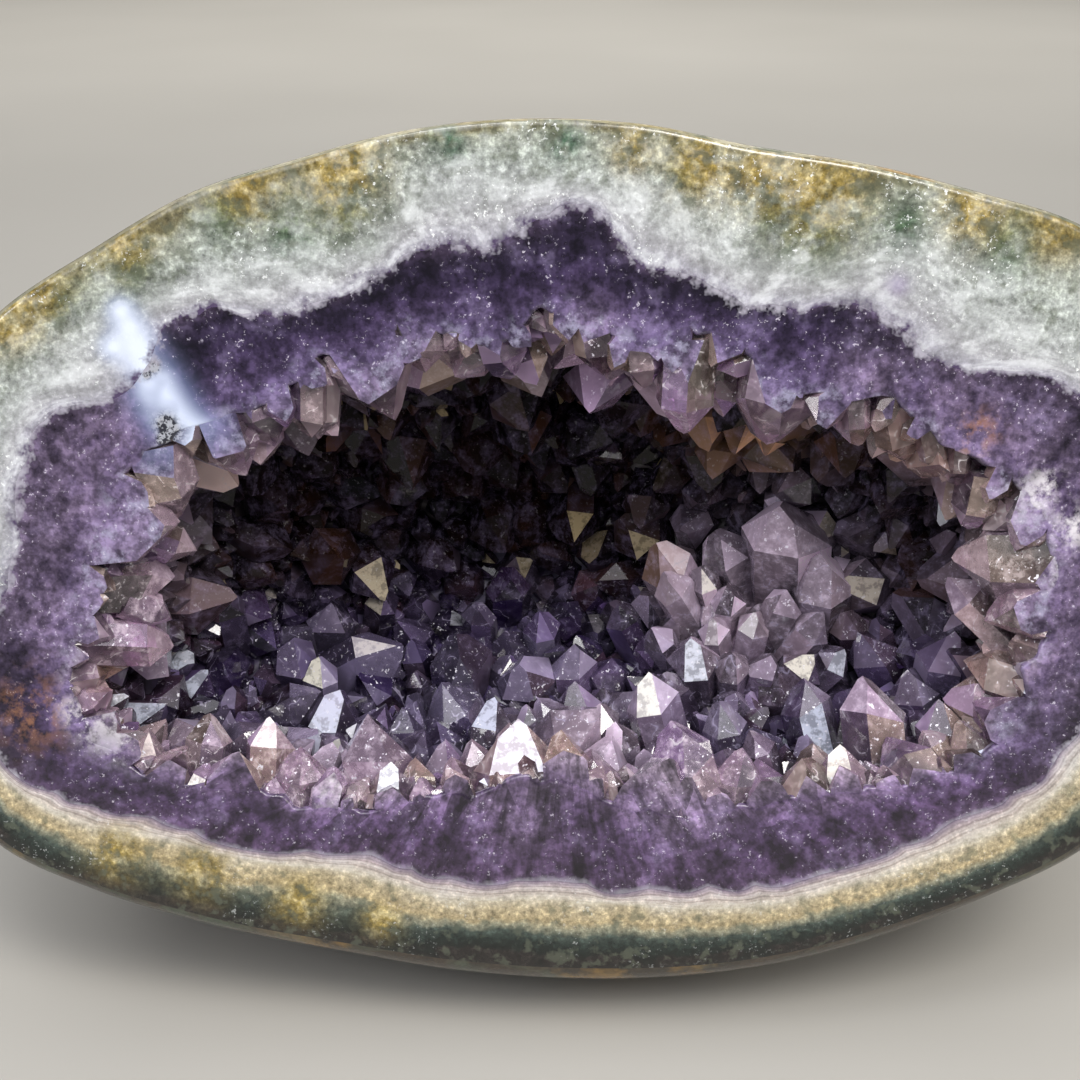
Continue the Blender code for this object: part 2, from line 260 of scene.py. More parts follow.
def skinSurface(rows):
    # rounded lip as a quarter turn, then the dome, raised and sunk by slow sines and fine noise
    lip = curveThrough(lipRound, angle)
    edge = curveThrough(skinEdge, angle)
    turn = np.linspace(0, np.pi / 2, stone["lipRows"])[:, None]
    lipRows = polar(edge + lip * np.sin(turn), angle, lip * (1 - np.cos(turn)), stone["shear"])
    share = np.linspace(0, 1, rows)[1:, None]
    rest = dome(edge + lip, angle, share, stone["depth"] - lip, curveThrough(skinSwell, angle),
                stone["shear"])
    rest[..., 2] += lip
    rest[..., 1] -= stone["shear"] * lip
    u, v, w = rest[..., 0], rest[..., 1], rest[..., 2]
    wave = (np.sin(u / 23 + 1.3) * np.sin(v / 19 + 0.4) + np.sin(w / 17 + u / 31)) / 2
    fine = smoothNoise(rest, 7, 3) + 0.5 * smoothNoise(rest, 3, 4) - 0.75
    raised = np.minimum(1, 4 * share) * (stone["lump"] * wave + stone["ripple"] * fine)
    out = rest - (0, 0, stone["core"] * stone["depth"])
    out /= np.linalg.norm(out, axis=-1, keepdims=True)
    rest += out * raised[..., None]
    rest[-1] = rest[-1].mean(0)
    return np.concatenate([lipRows, rest])


def bedSurface(rows, gap):
    # the bed of the amethyst, a dome inside the skin's and in from the agate's line by the gap
    share = np.linspace(0, 1, rows)[1:, None]
    return dome(agateLine() - gap, angle, share, stone["depth"] - stone["rindAtBack"] - gap,
                stone["bedSwell"] * curveThrough(skinSwell, angle), stone["shear"])


def agateLine():
    # the outline with small round lobes towards the agate, the size of a sine that runs along it
    length, sway, height = stone["lobe"]
    radius = curveThrough(agateEdge, angle)
    ring = polar(radius, angle, 0)
    run = np.cumsum(np.linalg.norm(ring - np.roll(ring, 1, 0), axis=-1))
    lobes = np.abs(np.sin(run / length + sway * smoothNoise(ring, 14, 5)))
    return radius + height * lobes * (0.35 + smoothNoise(ring, 9, 6)) - 0.6


def hollowLine():
    # the outline broken by the flat sections of the crystals that the saw went through
    radius = curveThrough(hollowEdge, angle)
    ring = polar(radius, angle, 0)
    for height, size, seed in stone["ragged"]:
        radius = radius + height * (smoothNoise(ring, size, seed) - 0.5)
    return radius


def hollowSurface(degrees, share, edge):
    # the wall that the points stand on, with the mound raised towards the middle of the hollow
    depth = stone["depth"] - stone["rindAtBack"] - stone["crustAtBack"]
    wall = dome(edge, degrees, share, depth, stone["hollowSwell"], stone["hollowShear"])
    at, radius, height = stone["mound"]
    inwards = np.array([*face["centre"], 0.2 * depth]) - wall
    inwards /= np.linalg.norm(inwards, axis=-1, keepdims=True)
    rise = height * np.exp(-(np.linalg.norm(wall - at, axis=-1) / radius) ** 2)
    return wall + inwards * rise[..., None], inwards


rind = {
    "rows": {"skin": 80, "flat": 49, "bed": 15},
    "least": (1.2, 1.5),          # width of the milky and of the green-grey agate, in mm
    "low": (186, 206, 332, 352),  # between these angles the lower layers come in, and go out again
    "along": (70, 25),            # the clouds' own mm, round the stone and across the layers
    "polished": 0.35,             # how far the face's material reaches behind it, in mm
}


def makeRind():
    # skin from the back to the lip, then the polished face, then the bed under the amethyst
    rows = rind["rows"]
    outside = skinSurface(rows["skin"])[::-1]
    outer, milk, inner = curveThrough(skinEdge, angle), curveThrough(milkEdge, angle), agateLine()
    milk = np.clip(milk, inner + rind["least"][0], outer - rind["least"][1])
    share = np.linspace(0, 1, rows["flat"])[1:, None]
    radius = np.where(share < 0.5, outer + (milk - outer) * share * 2,
                      milk + (inner - milk) * (share * 2 - 1))
    flat = polar(radius, angle, 0)
    bed = bedSurface(rows["bed"], 0)
    rings = np.concatenate([outside, flat, bed])
    layer = np.concatenate([np.zeros(outside.shape[:2]), share + 0 * flat[..., 0], np.ones(bed.shape[:2])])
    low = between(rind["low"], angle)
    beyond = np.linalg.norm(flat[..., :2] - np.array(face["centre"]), axis=-1) - inner
    turn = np.radians(angle) + 0 * layer
    around, across = rind["along"]
    values = {
        "layer": layer,
        "along": np.stack([around * np.cos(turn), around * np.sin(turn), across * layer], -1),
        "border": np.concatenate([np.full(outside.shape[:2], farAway), beyond, np.zeros(bed.shape[:2])]),
        "low": low + 0 * layer,
    }
    for key in ("ochre", "green", "violet", "sparkle", "glow"):
        values[key] = patches(rings, onFace(agate[key]))
    piece = putRings("agateRind", rings, values)
    piece.data.materials.append(agateMaterial())
    piece.data.materials.append(skinMaterial())
    # the skin's material behind the polished face; quads come first, then the fans at both ends
    slots = np.zeros(len(piece.data.polygons), np.int32)
    middles = np.empty(len(slots) * 3, np.float32)
    piece.data.polygons.foreach_get("center", middles)
    depth = fromWorld(middles.reshape(-1, 3))[:, 2]
    bedFaces = np.arange(len(slots)) >= (len(outside) + len(flat) - 2) * face["columns"]
    quads = len(slots) - 2 * face["columns"]
    bedFaces[quads:] = False
    slots[(depth > rind["polished"]) & ~bedFaces] = 1
    slots[quads + face["columns"]:] = 0
    piece.data.polygons.foreach_set("material_index", slots)
    return piece


crust = {
    "rows": {"bed": 15, "flat": 45, "lip": 5, "wall": 60},
    "least": 2,                           # width of the sawn amethyst, in mm
    "roll": 0.7,                          # radius of the lip between the face and the hollow
    "rough": ((1.6, 3.5, 11), (0.8, 1.6, 12)),  # of the wall: height, size, seed of the noise
    "low": (190, 215, 325, 345),          # as the rind's
    "streak": (62, 5),                    # the columns' own mm, round the stone and across
    "growthMost": 1.33,                   # for sawn points that stand out past the hollow's line
}


def sawnValues(places):
    # what the sawn amethyst is coloured by, for places on the face: growth, 0 at the agate and 1 at
    # the hollow, whether they lie below, coordinates for the columns, which are the direction and
    # then the growth, each times a length, and the patches
    du, dv = places[..., 0] - face["centre"][0], places[..., 1] - face["centre"][1]
    turn = np.degrees(np.arctan2(dv, du)) % 360
    outer = np.interp(turn, angle, agateLine(), period=360)
    inner = np.minimum(np.interp(turn, angle, hollowLine(), period=360), outer - crust["least"])
    growth = np.clip((outer - np.hypot(du, dv)) / (outer - inner), 0, crust["growthMost"])
    run = np.radians(turn)
    around, across = crust["streak"]
    values = {
        "growth": growth,
        "lowSide": between(crust["low"], turn),
        "streak": np.stack([around * np.cos(run), around * np.sin(run), growth * across], -1),
    }
    for key in ("glow", "vug", "iron", "white", "pale"):
        values[key] = patches(places, onFace(amethyst[key]))
    return values


def makeCrust(sawn):
    # massive amethyst: bed side from the back to the face, polished face, quarter round into the
    # hollow, then its wall, rougher from the lip inwards, and smooth at its deepest point
    rows, roll = crust["rows"], crust["roll"]
    bed = bedSurface(rows["bed"], stone["seam"])[::-1]
    outer = agateLine() - stone["seam"]
    inner = np.minimum(hollowLine(), outer - crust["least"])
    share = np.linspace(0, 1, rows["flat"])[:, None]
    flat = polar(outer + (inner + roll - outer) * share, angle, 0)
    turn = np.linspace(0, np.pi / 2, rows["lip"])[1:, None]
    lip = polar(inner + roll * (1 - np.sin(turn)), angle, roll * (1 - np.cos(turn)))
    inward = np.linspace(0, 1, rows["wall"])[1:, None]
    wall, inwards = hollowSurface(angle, inward, inner)
    wall[..., 2] += roll * (1 - inward)
    rough = sum(height * (smoothNoise(wall, size, seed) - 0.5) for height, size, seed in crust["rough"])
    wall += inwards * (rough * np.minimum(1, 6 * inward) * (inward < 1))[..., None]
    wall[-1] = wall[-1].mean(0)
    rings = np.concatenate([bed, flat, lip, wall])
    before = np.zeros((len(bed) + len(flat) + len(lip), len(angle)))
    beyond = np.linalg.norm(flat[..., :2] - np.array(face["centre"]), axis=-1) - outer
    values = sawnValues(rings)
    values["wall"] = np.concatenate([before, inward + 0 * wall[..., 0]])
    within = np.full((len(lip) + len(wall), len(angle)), -farAway)
    values["border"] = np.concatenate([np.zeros(bed.shape[:2]), beyond, within])
    piece = putRings("massiveAmethyst", rings, values)
    piece.data.materials.append(sawn)
    return piece


crystals = {
    "seed": 21,
    "tries": 30000,
    # each generation: width range in mm, how close the feet come over the width, share of the tries
    "sizes": ((8.0, 12.0, 0.80, 0.05), (5.6, 8.4, 0.74, 0.20), (4.0, 6.0, 0.68, 0.35),
              (2.8, 4.2, 0.62, 0.40)),
    "keyClose": 0.7,            # how close the feet come to those of the listed key points
    "depths": (0.8, 59.95),     # of the feet behind the face, in mm
    "prism": (0.75, 1.6),       # longest prism over the width, and how much rarer long ones are
    "lean": 0.34, "towards": 0.15,  # how far they lean at random, and towards the hollow's mouth
    "tipSlope": 1.27,           # of a tip's faces, which in quartz lie 38.2 degrees from the axis
    "root": 0.55, "shoulder": 0.2,  # over the width: below the foot, and the lowest shoulder
    "sides": (0.78, 1.12),      # distance of a prism face from the axis, over half the width
    "uneven": 0.16,             # heights of a tip's faces, over the distance
    "lesser": (0.12, 0.55, 0.6),    # how much higher the plane of a smaller tip face lies: from, to
    "cut": 0.04,                # the points end this far behind the face's plane, in mm
    "ahead": (150, 120, 60),    # half width, half height and depth of the block that cuts them
    "paintedGlintTowards": (0.05, -0.75, 0.66),  # which way the facets with painted glints look, towards the front lamp, and those with painted glints at the back
    "glintTowards": (0.0, -0.97, 0.24),
    # the key points with a facet painted with a glint, by their number in the next table
    "paintedGlintTips": (4, 10, 13, 20, 41, 43, 48, 52, 56, 60, 63, 66, 68, 70, 73),
    # the points that catch the eye: foot u, v, w, then tip u, v, w, then width
    "key": (
        # round the rim, clockwise from the upper left
        (-54.4, 15.3, 7.0, -49.5, 11.6, 9.0, 6.5), (-45.5, 22.1, 5.0, -43.6, 14.1, 7.0, 9.4),
        (-37.0, 22.8, 4.0, -37.5, 15.2, 6.0, 6.5), (-35.4, 25.1, 7.0, -36.8, 14.6, 9.0, 6.6),
        (-27.0, 27.2, 5.0, -23.0, 18.1, 8.0, 13.6), (-18.7, 33.1, 3.0, -19.0, 26.2, 5.0, 7.7),
        (-14.9, 31.5, 8.0, -13.9, 26.2, 9.0, 6.5), (-6.9, 32.1, 4.0, -4.9, 24.7, 7.0, 9.0),
        (2.1, 34.5, 6.0, 1.6, 28.8, 7.0, 7.7), (8.6, 33.7, 3.0, 10.0, 26.1, 5.0, 7.3),
        (16.0, 29.9, 4.0, 17.0, 23.6, 6.0, 7.1), (23.8, 28.3, 4.0, 23.6, 16.2, 7.0, 8.4),
        (29.9, 30.6, 8.0, 30.1, 18.5, 10.0, 6.2), (38.9, 28.2, 5.0, 37.0, 14.3, 8.0, 12.4),
        (45.1, 23.2, 9.0, 45.0, 16.8, 10.0, 6.6), (50.9, 21.4, 4.0, 51.9, 14.1, 6.0, 6.2),
        (57.8, 19.1, 5.0, 60.2, 11.5, 8.0, 7.5), (63.1, 16.5, 3.0, 65.3, 10.3, 5.0, 5.2),
        (67.4, 13.9, 3.0, 67.8, 7.8, 5.0, 5.2), (71.6, 7.6, 5.0, 71.3, -0.5, 8.0, 7.2),
        (82.4, -4.2, 6.0, 69.5, -5.2, 12.0, 12.4), (78.9, -18.0, 12.0, 69.4, -9.1, 14.0, 8.2),
        (84.1, -11.3, 3.0, 74.2, -15.2, 5.0, 8.9), (83.7, -26.1, 6.0, 73.0, -24.3, 14.0, 8.6),
        (74.0, -39.7, 5.0, 71.3, -32.5, 6.0, 7.8), (52.2, -46.5, 5.0, 51.1, -37.0, 6.0, 10.2),
        (33.4, -46.6, 5.0, 34.1, -37.7, 6.0, 8.4), (9.4, -46.7, 5.0, 8.5, -38.1, 6.0, 9.0),
        (-25.3, -47.6, 5.0, -25.5, -39.3, 5.0, 7.8), (-40.5, -46.5, 5.0, -40.7, -36.6, 5.0, 8.9),
        (-68.1, -41.1, 5.0, -66.2, -33.4, 6.0, 7.8), (-76.9, -37.1, 4.0, -75.2, -31.3, 5.0, 6.8),
        (-78.6, -23.9, 4.0, -73.3, -24.2, 9.0, 6.8), (-74.7, -18.8, 6.0, -62.8, -21.0, 12.0, 8.2),
        (-67.6, -13.1, 9.0, -62.7, -16.6, 12.0, 5.8), (-75.7, -8.1, 6.0, -62.3, -9.2, 13.0, 10.5),
        (-65.5, -1.8, 10.0, -58.6, -4.9, 13.0, 6.8), (-62.0, 10.3, 5.0, -60.2, 1.5, 8.0, 10.2),
        (-3.4, -45.5, 7.0, -4.3, -32.7, 8.0, 14.5), (26.1, -45.4, 7.0, 22.3, -33.8, 8.0, 13.0),
        # on the mound
        (46.8, -18.5, 43.2, 44.0, 0.7, 28.5, 15.4), (52.4, -24.7, 41.4, 51.4, -8.7, 30.3, 11.9),
        (38.2, -17.6, 43.7, 32.4, -5.7, 35.7, 9.2), (28.8, -21.6, 44.2, 21.4, -8.2, 36.8, 10.0),
        (33.5, -28.3, 40.3, 31.8, -18.6, 36.0, 5.7), (19.4, -31.5, 46.4, 14.8, -21.2, 42.6, 7.4),
        (57.4, -30.0, 39.1, 56.4, -20.0, 31.9, 8.0), (44.2, -31.1, 40.0, 41.7, -18.3, 32.7, 9.2),
        (29.5, -36.6, 35.3, 27.5, -24.8, 28.6, 8.7), (44.0, -38.8, 33.6, 42.2, -29.4, 28.0, 8.3),
        # on the floor, right to left
        (73.5, -32.0, 25.2, 73.0, -19.7, 18.2, 10.9), (69.6, -37.3, 24.8, 65.8, -28.0, 21.5, 8.0),
        (70.4, -39.6, 11.5, 69.1, -30.6, 11.2, 7.3), (58.9, -43.3, 13.8, 56.8, -27.2, 14.7, 10.9),
        (50.5, -44.0, 21.2, 46.7, -29.7, 21.6, 8.3), (39.8, -45.1, 14.2, 36.9, -37.0, 14.2, 6.7),
        (34.4, -44.6, 23.1, 32.3, -33.8, 20.8, 8.0), (23.9, -45.4, 27.0, 19.4, -29.5, 25.0, 10.0),
        (12.3, -44.9, 27.6, 11.0, -35.6, 26.3, 7.4), (7.1, -38.8, 42.7, 6.1, -28.1, 38.6, 8.6),
        (1.1, -32.6, 51.3, 0.0, -23.8, 46.3, 7.2), (-6.5, -26.1, 57.4, -5.9, -15.7, 49.6, 8.5),
        (-11.9, -31.2, 54.5, -12.4, -22.5, 49.3, 6.4), (-15.3, -39.9, 44.8, -15.7, -26.5, 38.0, 11.8),
        (-23.6, -37.8, 47.8, -25.2, -28.7, 43.7, 6.3), (-27.9, -46.8, 12.3, -29.6, -33.4, 12.9, 11.6),
        (-32.2, -27.9, 53.3, -30.6, -19.6, 47.2, 6.8), (-40.8, -30.8, 49.2, -40.1, -20.5, 41.5, 8.7),
        (-42.5, -40.2, 40.3, -41.9, -29.8, 35.9, 7.7), (-47.5, -36.7, 42.0, -47.0, -26.7, 35.2, 8.9),
        (-46.9, -45.6, 9.2, -46.4, -33.8, 10.9, 7.6), (-58.2, -43.1, 8.1, -56.7, -32.2, 9.4, 7.6),
        (-57.3, -39.7, 31.1, -56.8, -33.4, 28.4, 5.2), (-60.0, -26.1, 39.1, -60.0, -16.3, 32.4, 8.8),
    ),
    # small points over the front of the mound: tip u, v, w and width
    "moundTips": (
        (22.9, -13.1, 33, 7.5), (29.7, -12.4, 35, 6.5), (34.8, -15.5, 33, 7.0), (31.6, -21.0, 30, 6.0),
        (39.8, -19.9, 30, 6.5), (45.6, -15.5, 29, 7.0), (52.3, -19.6, 29, 7.5), (26.8, -24.9, 29, 7.0),
        (35.2, -26.7, 27, 7.5), (42.4, -27.2, 27, 6.5), (49.5, -26.9, 26, 7.0), (55.9, -26.2, 28, 6.5),
        (20.5, -23.8, 33, 6.0), (22.1, -30.8, 28, 7.0),
    ),
    # and their feet: this share of the way to the mound's middle u, then so far up and inwards
    "moundFeet": (0.3, 38, -8.0, 5.5),
    # facets that look this way, towards the front lamp, get a painted satin glint near those tips, and some
    # elsewhere: from and up to what cosine, how near the tip, and the chance above and what it gains below
    "etched": {"from": 0.80, "full": 0.92, "near": 0.3, "radius": 3.5, "chance": 0.03, "below": 0.12},
    # and painted honey glints at the back, on facets that face the camera: the same, then below what v,
    # behind what w, and the chance
    "glints": {"from": 0.86, "full": 0.94, "above": -14, "behind": 25, "chance": 0.06},
    # where mist lies in the points: u, v, w, radius
    "misty": ((44, -5, 32, 9), (51, -14, 34, 8), (30, -14, 40, 8), (38, -24, 36, 12), (-3, -40, 7, 9),
              (24, -40, 7, 9), (57, -33, 14, 9), (-70, -10, 8, 14), (78, -10, 8, 12), (24, 22, 6, 6),
              (-40, -40, 10, 14), (10, -38, 20, 14)),
    # where iron has tinted them brown or honey
    "warm": ((64, 14, 4, 7.3), (59, 17, 4, 5), (-74.5, -24, 6, 4.5), (78, -25, 8, 5.5), (-3, -42, 5, 8),
             (9.6, 30, 4, 3.5), (37.5, 16, 6, 3.2), (38, 12, 30, 8), (-70.6, -20, 6, 3.2), (20, -12, 40, 5)),
}


def wallFrames(degrees, share):
    # feet on the wall in metres, with two unit vectors: square to a small step inwards and one
    # round the wall, and towards the mouth of the hollow
    here, ahead, beside = (
        toWorld(hollowSurface(turn, part, curveThrough(hollowEdge, turn))[0])
        for turn, part in ((degrees, share), (degrees, share + 0.004), (degrees + 0.5, share)))
    towards = toWorld(np.array([*face["centre"], 12.0])) - here
    out = np.cross(beside - here, ahead - here)
    out /= np.linalg.norm(out, axis=-1, keepdims=True) + 1e-12
    out *= np.sign((out * towards).sum(-1, keepdims=True))
    towards /= np.linalg.norm(towards, axis=-1, keepdims=True)
    return here, out, towards


def shareAtDepth(depth):
    # the dome's formula for the depth, solved for the share
    deepest = stone["depth"] - stone["rindAtBack"] - stone["crustAtBack"]
    swell = np.radians(stone["hollowSwell"])
    t = np.arcsin(depth / deepest * (1 + np.sin(swell)) - np.sin(swell))
    return (t + swell) / (np.pi / 2 + swell)


def choosePoints(rng):
    # feet thrown at random on the wall, each kept only where it isn't too close to one kept before
    small = np.array(crystals["moundTips"])
    share, middle, up, inwards = crystals["moundFeet"]
    across = small[:, 0] + share * (middle - small[:, 0])
    feet = np.stack([across, small[:, 1] + up, small[:, 2] + inwards], -1)
    key = np.concatenate([np.array(crystals["key"]), np.c_[feet, small]])
    keyFoot, keyTip, keyWidth = toWorld(key[:, :3]), toWorld(key[:, 3:6]), key[:, 6]
    keyAxis = keyTip - keyFoot
    keyLength = np.linalg.norm(keyAxis, axis=-1) / mm
    longest, rarer = crystals["prism"]
    degrees, share, width, prism, apart = [], [], [], [], []
    for low, high, close, part in crystals["sizes"]:
        count = int(crystals["tries"] * part)
        degrees.append(rng.uniform(0, 360, count))
        share.append(shareAtDepth(rng.uniform(*crystals["depths"], count)))
        width.append(rng.uniform(low, high, count))
        prism.append(width[-1] * rng.uniform(0.0, longest, count) ** rarer)
        apart.append(width[-1] * close)
    foot, out, towards = wallFrames(np.concatenate(degrees), np.concatenate(share))
    axis = out + rng.normal(size=out.shape) * crystals["lean"] + crystals["towards"] * towards
    axis /= np.linalg.norm(axis, axis=-1, keepdims=True)
    foot = np.concatenate([keyFoot, foot])
    axis = np.concatenate([keyAxis / keyLength[:, None] / mm, axis])
    width = np.concatenate([keyWidth, *width])
    prism = np.concatenate([np.maximum(keyLength - crystals["tipSlope"] * keyWidth / 2, 0), *prism])
    apart = np.concatenate([keyWidth * crystals["keyClose"], *apart])
    kept = list(range(len(key)))
    for i in range(len(key), len(foot)):
        away = np.linalg.norm(foot[kept] - foot[i], axis=-1)
        if np.all(away > mm * (apart[kept] + apart[i]) / 2):
            kept.append(i)
    return foot[kept], axis[kept], width[kept], prism[kept]


def crystalCorners(foot, axis, width, prism, rng):
    # Each point is six prism faces at distances d from its axis, under six sloping faces, three of
    # them larger. Neighbouring prism faces meet where both distances hold, and three sloping
    # faces meet where their heights are equal.
    count = len(foot)
    turn = np.radians(60) * np.arange(6) + rng.uniform(0, np.pi / 3, (count, 1))
    d = width[:, None] / 2 * rng.uniform(*crystals["sides"], (count, 6))
    cos, sin = np.cos(turn), np.sin(turn)
    nextCos, nextSin, nextD = np.roll(cos, -1, 1), np.roll(sin, -1, 1), np.roll(d, -1, 1)
    x = (d * nextSin - nextD * sin) / np.sin(np.pi / 3)
    y = (nextD * cos - d * nextCos) / np.sin(np.pi / 3)
    slope, uneven = crystals["tipSlope"], crystals["uneven"]
    least, most, share = crystals["lesser"]
    reach = d.mean(1, keepdims=True)
    height = prism[:, None] + slope * reach + rng.uniform(-uneven, uneven, (count, 6)) * reach
    lesser = rng.uniform(least, most, (count, 3)) * share * reach
    height[:, 1::2] = height[:, 0::2].mean(1, keepdims=True) + lesser
    shoulder = height - slope * d
    corner = np.minimum(shoulder, np.roll(shoulder, -1, 1))
    corner = np.maximum(corner, -crystals["shoulder"] * width[:, None])
    top = height[:, 0::2].mean(1)
    off = (height[:, 0::2] - top[:, None]) / slope * 2 / 3
    tip = np.stack([(off * cos[:, 0::2]).sum(1), (off * sin[:, 0::2]).sum(1), top], -1)
    forks = []
    for k in (1, 3, 5):
        near = [k - 1, k, (k + 1) % 6]
        planes = np.stack([slope * cos[:, near], slope * sin[:, near], np.ones((count, 3))], -1)
        forks.append(np.linalg.solve(planes, height[:, near, None])[..., 0])
    root = -crystals["root"] * width[:, None]
    local = np.concatenate([
        np.stack([x, y, root + 0 * x], -1), np.stack([x, y, corner], -1), np.stack(forks, 1),
        tip[:, None],
    ], 1) * mm
    aside = np.cross(axis, np.where(np.abs(axis[:, :1]) < 0.8, [[1.0, 0, 0]], [[0, 1.0, 0]]))
    aside /= np.linalg.norm(aside, axis=-1, keepdims=True)
    basis = np.stack([aside, np.cross(axis, aside), axis], 1)
    return np.einsum("nki,nij->nkj", local, basis) + foot[:, None]


def crystalFaces():
    # corners: root ring 0 to 5, shoulder ring 6 to 11, forks 12 to 14, tip 15; corner k lies
    # between sides k and k + 1
    faces = [[5, 4, 3, 2, 1, 0]]
    for k in range(6):
        before = (k - 1) % 6
        faces.append([before, k, 6 + k, 6 + before])
        if k % 2:
            faces.append([6 + before, 6 + k, 12 + k // 2])
        else:
            faces.append([6 + before, 6 + k, 12 + k // 2, 15, 12 + (k // 2 - 1) % 3])
    return faces


def apartSets(corners):
    # crystals shared out so that no two in one set touch: each takes the first set in which none of
    # its neighbours is
    middle = corners.mean(1)
    reach = np.linalg.norm(corners - middle[:, None], axis=-1).max(1)
    number = np.full(len(corners), -1)
    for i in range(len(corners)):
        near = np.linalg.norm(middle - middle[i], axis=-1) < reach + reach[i]
        taken = set(number[near]) - {-1}
        number[i] = next(n for n in range(len(taken) + 1) if n not in taken)
    return number


def frontBlock():
    # all that lies in front of the face's plane; a corner's number adds 4, 2 and 1 for u, v and w
    u, v, w = crystals["ahead"]
    box = np.array([[a, b, c] for a in (-u, u) for b in (-v, v) for c in (-w, crystals["cut"])])
    corners = np.array([[0, 1, 3, 2], [4, 6, 7, 5], [0, 4, 5, 1], [2, 3, 7, 6], [0, 2, 6, 4], [1, 5, 7, 3]])
    return putMesh("frontBlock", toWorld(box), corners.ravel(), np.full(6, 4))


def makePoints(sawn):
    # all the crystal points grown into one another, cut off at the face
    rng = np.random.default_rng(crystals["seed"])
    foot, axis, width, prism = choosePoints(rng)
    corners = crystalCorners(foot, axis, width, prism, rng)
    number = apartSets(corners)
    template = crystalFaces()
    flat = np.concatenate([np.array(f) for f in template])
    sizes = np.array([len(f) for f in template])
    print("points:", len(foot), "in", number.max() + 1, "sets")
    pieces = []
    for n in range(number.max() + 1):
        chosen = corners[number == n]
        index = (flat + corners.shape[1] * np.arange(len(chosen))[:, None]).ravel()
        pieces.append(putMesh(f"points{n}", chosen.reshape(-1, 3), index, np.tile(sizes, len(chosen))))
    piece, front = pieces[0], frontBlock()
    for other in pieces[1:] + [front]:
        step = piece.modifiers.new(other.name, "BOOLEAN")
        step.solver = "MANIFOLD"
        step.operation = "DIFFERENCE" if other is front else "UNION"
        step.object = other
    graph = bpy.context.evaluated_depsgraph_get()
    joined = bpy.data.meshes.new_from_object(piece.evaluated_get(graph))
    piece.modifiers.clear()
    piece.data = joined
    piece.name = joined.name = "amethystPoints"
    for other in pieces[1:] + [front]:
        bpy.data.objects.remove(other)
    joined.materials.clear()
    joined.materials.append(pointMaterial())
    joined.materials.append(sawn)
    joined.shade_flat()
    markFacets(joined, foot, axis, width, prism + crystals["tipSlope"] * width / 2, rng)
    print("points:", len(joined.polygons), "faces")
    return piece


def nearestPoint(places, foot, axis, width):
    # which crystal's axis is nearest over its width, and how far along that axis the place lies,
    # for so many places at a time that the arrays stay small
    batch = 2000
    chosen, height = np.empty(len(places), np.int64), np.empty(len(places))
    for start in range(0, len(places), batch):
        away = places[start:start + batch, None] - foot
        along = (away * axis).sum(-1)
        held = np.clip(along, 0, 2 * width * mm)
        aside = np.linalg.norm(away - held[..., None] * axis, axis=-1) / width
        best = aside.argmin(1)
        chosen[start:start + batch] = best
        height[start:start + batch] = along[np.arange(len(best)), best] / mm
    return chosen, height


def markFacets(mesh, foot, axis, width, tall, rng):
    # on every face: a number that its whole facet shares, hashed from the facet's plane, one that its
    # crystal shares, how deep and how low it lies, how much iron tints it, how much mist lies in it, how
    # much painted glint it carries where it faces the front lamp or the camera, and how much it looks up and
    # forwards. On every corner: how near the crystal's tip it is. The sections that the saw left take the
    # sawn material.
    count = len(mesh.polygons)
    middle, normal = np.empty(count * 3, np.float32), np.empty(count * 3, np.float32)
    mesh.polygons.foreach_get("center", middle)
    mesh.polygons.foreach_get("normal", normal)
    middle, normal = middle.reshape(-1, 3).astype(float), normal.reshape(-1, 3)
    corners = np.empty(len(mesh.vertices) * 3, np.float32)
    mesh.vertices.foreach_get("co", corners)
    corners = corners.reshape(-1, 3).astype(float)
    table = rng.random(hashSize)
    plane = np.c_[normal * 300, (middle * normal).sum(-1, keepdims=True) / mm * 5]
    mixed = (np.round(plane).astype(np.int64) * hashPrimes).sum(-1)
    nearest, _ = nearestPoint(middle, foot, axis, width)
    places = fromWorld(middle)
    section = places[:, 2] < crystals["cut"] + 0.03
    # painted glints: facets that face the front lamp, near the listed tips and at random, are painted satin
    # white
    rule = crystals["etched"]
    upwards = normal @ np.array(crystals["paintedGlintTowards"])
    tips = np.array(crystals["key"])[list(crystals["paintedGlintTips"]), 3:6]
    near = patches(places, [(*tip, rule["radius"]) for tip in tips])
    lucky = table[(mixed * 3 + 5) % hashSize]
    chance = rule["chance"] + rule["below"] * smoothStep(0, -24, places[:, 1])
    etched = smoothStep(rule["from"], rule["full"], upwards) * (1 - section)
    etched *= np.maximum(near > rule["near"], lucky < chance)
    etched *= 0.5 + 0.5 * table[(mixed * 5 + 1) % hashSize]
    # painted glints at the back: facets that face the camera are painted honey
    rule = crystals["glints"]
    glints = smoothStep(rule["from"], rule["full"], normal @ np.array(crystals["glintTowards"]))
    glints *= (places[:, 1] > rule["above"]) * (places[:, 2] > rule["behind"]) * (lucky < rule["chance"])
    etched = np.maximum(etched, glints * (1 - section))
    values = {
        "facet": table[mixed % hashSize],
        "crystal": table[nearest * 7 % hashSize],
        "inward": np.clip(places[:, 2] / 55, 0, 1),
        "low": smoothStep(-12, -34, places[:, 1]),
        "warm": patches(places, crystals["warm"]),
        "misty": patches(places, crystals["misty"]),
        "etched": etched,
        "upwards": smoothStep(0.6, 0.85, upwards),
    }
    for key, value in values.items():
        addValues(mesh, key, value, "FACE")
    nearest, height = nearestPoint(corners, foot, axis, width)
    values = sawnValues(fromWorld(corners))
    values["tipward"] = np.clip(height / tall[nearest], 0, 1)
    values["border"] = np.full(len(corners), -farAway)
    for key, value in values.items():
        addValues(mesh, key, value, "POINT")
    mesh.polygons.foreach_set("material_index", section.astype(np.int32))


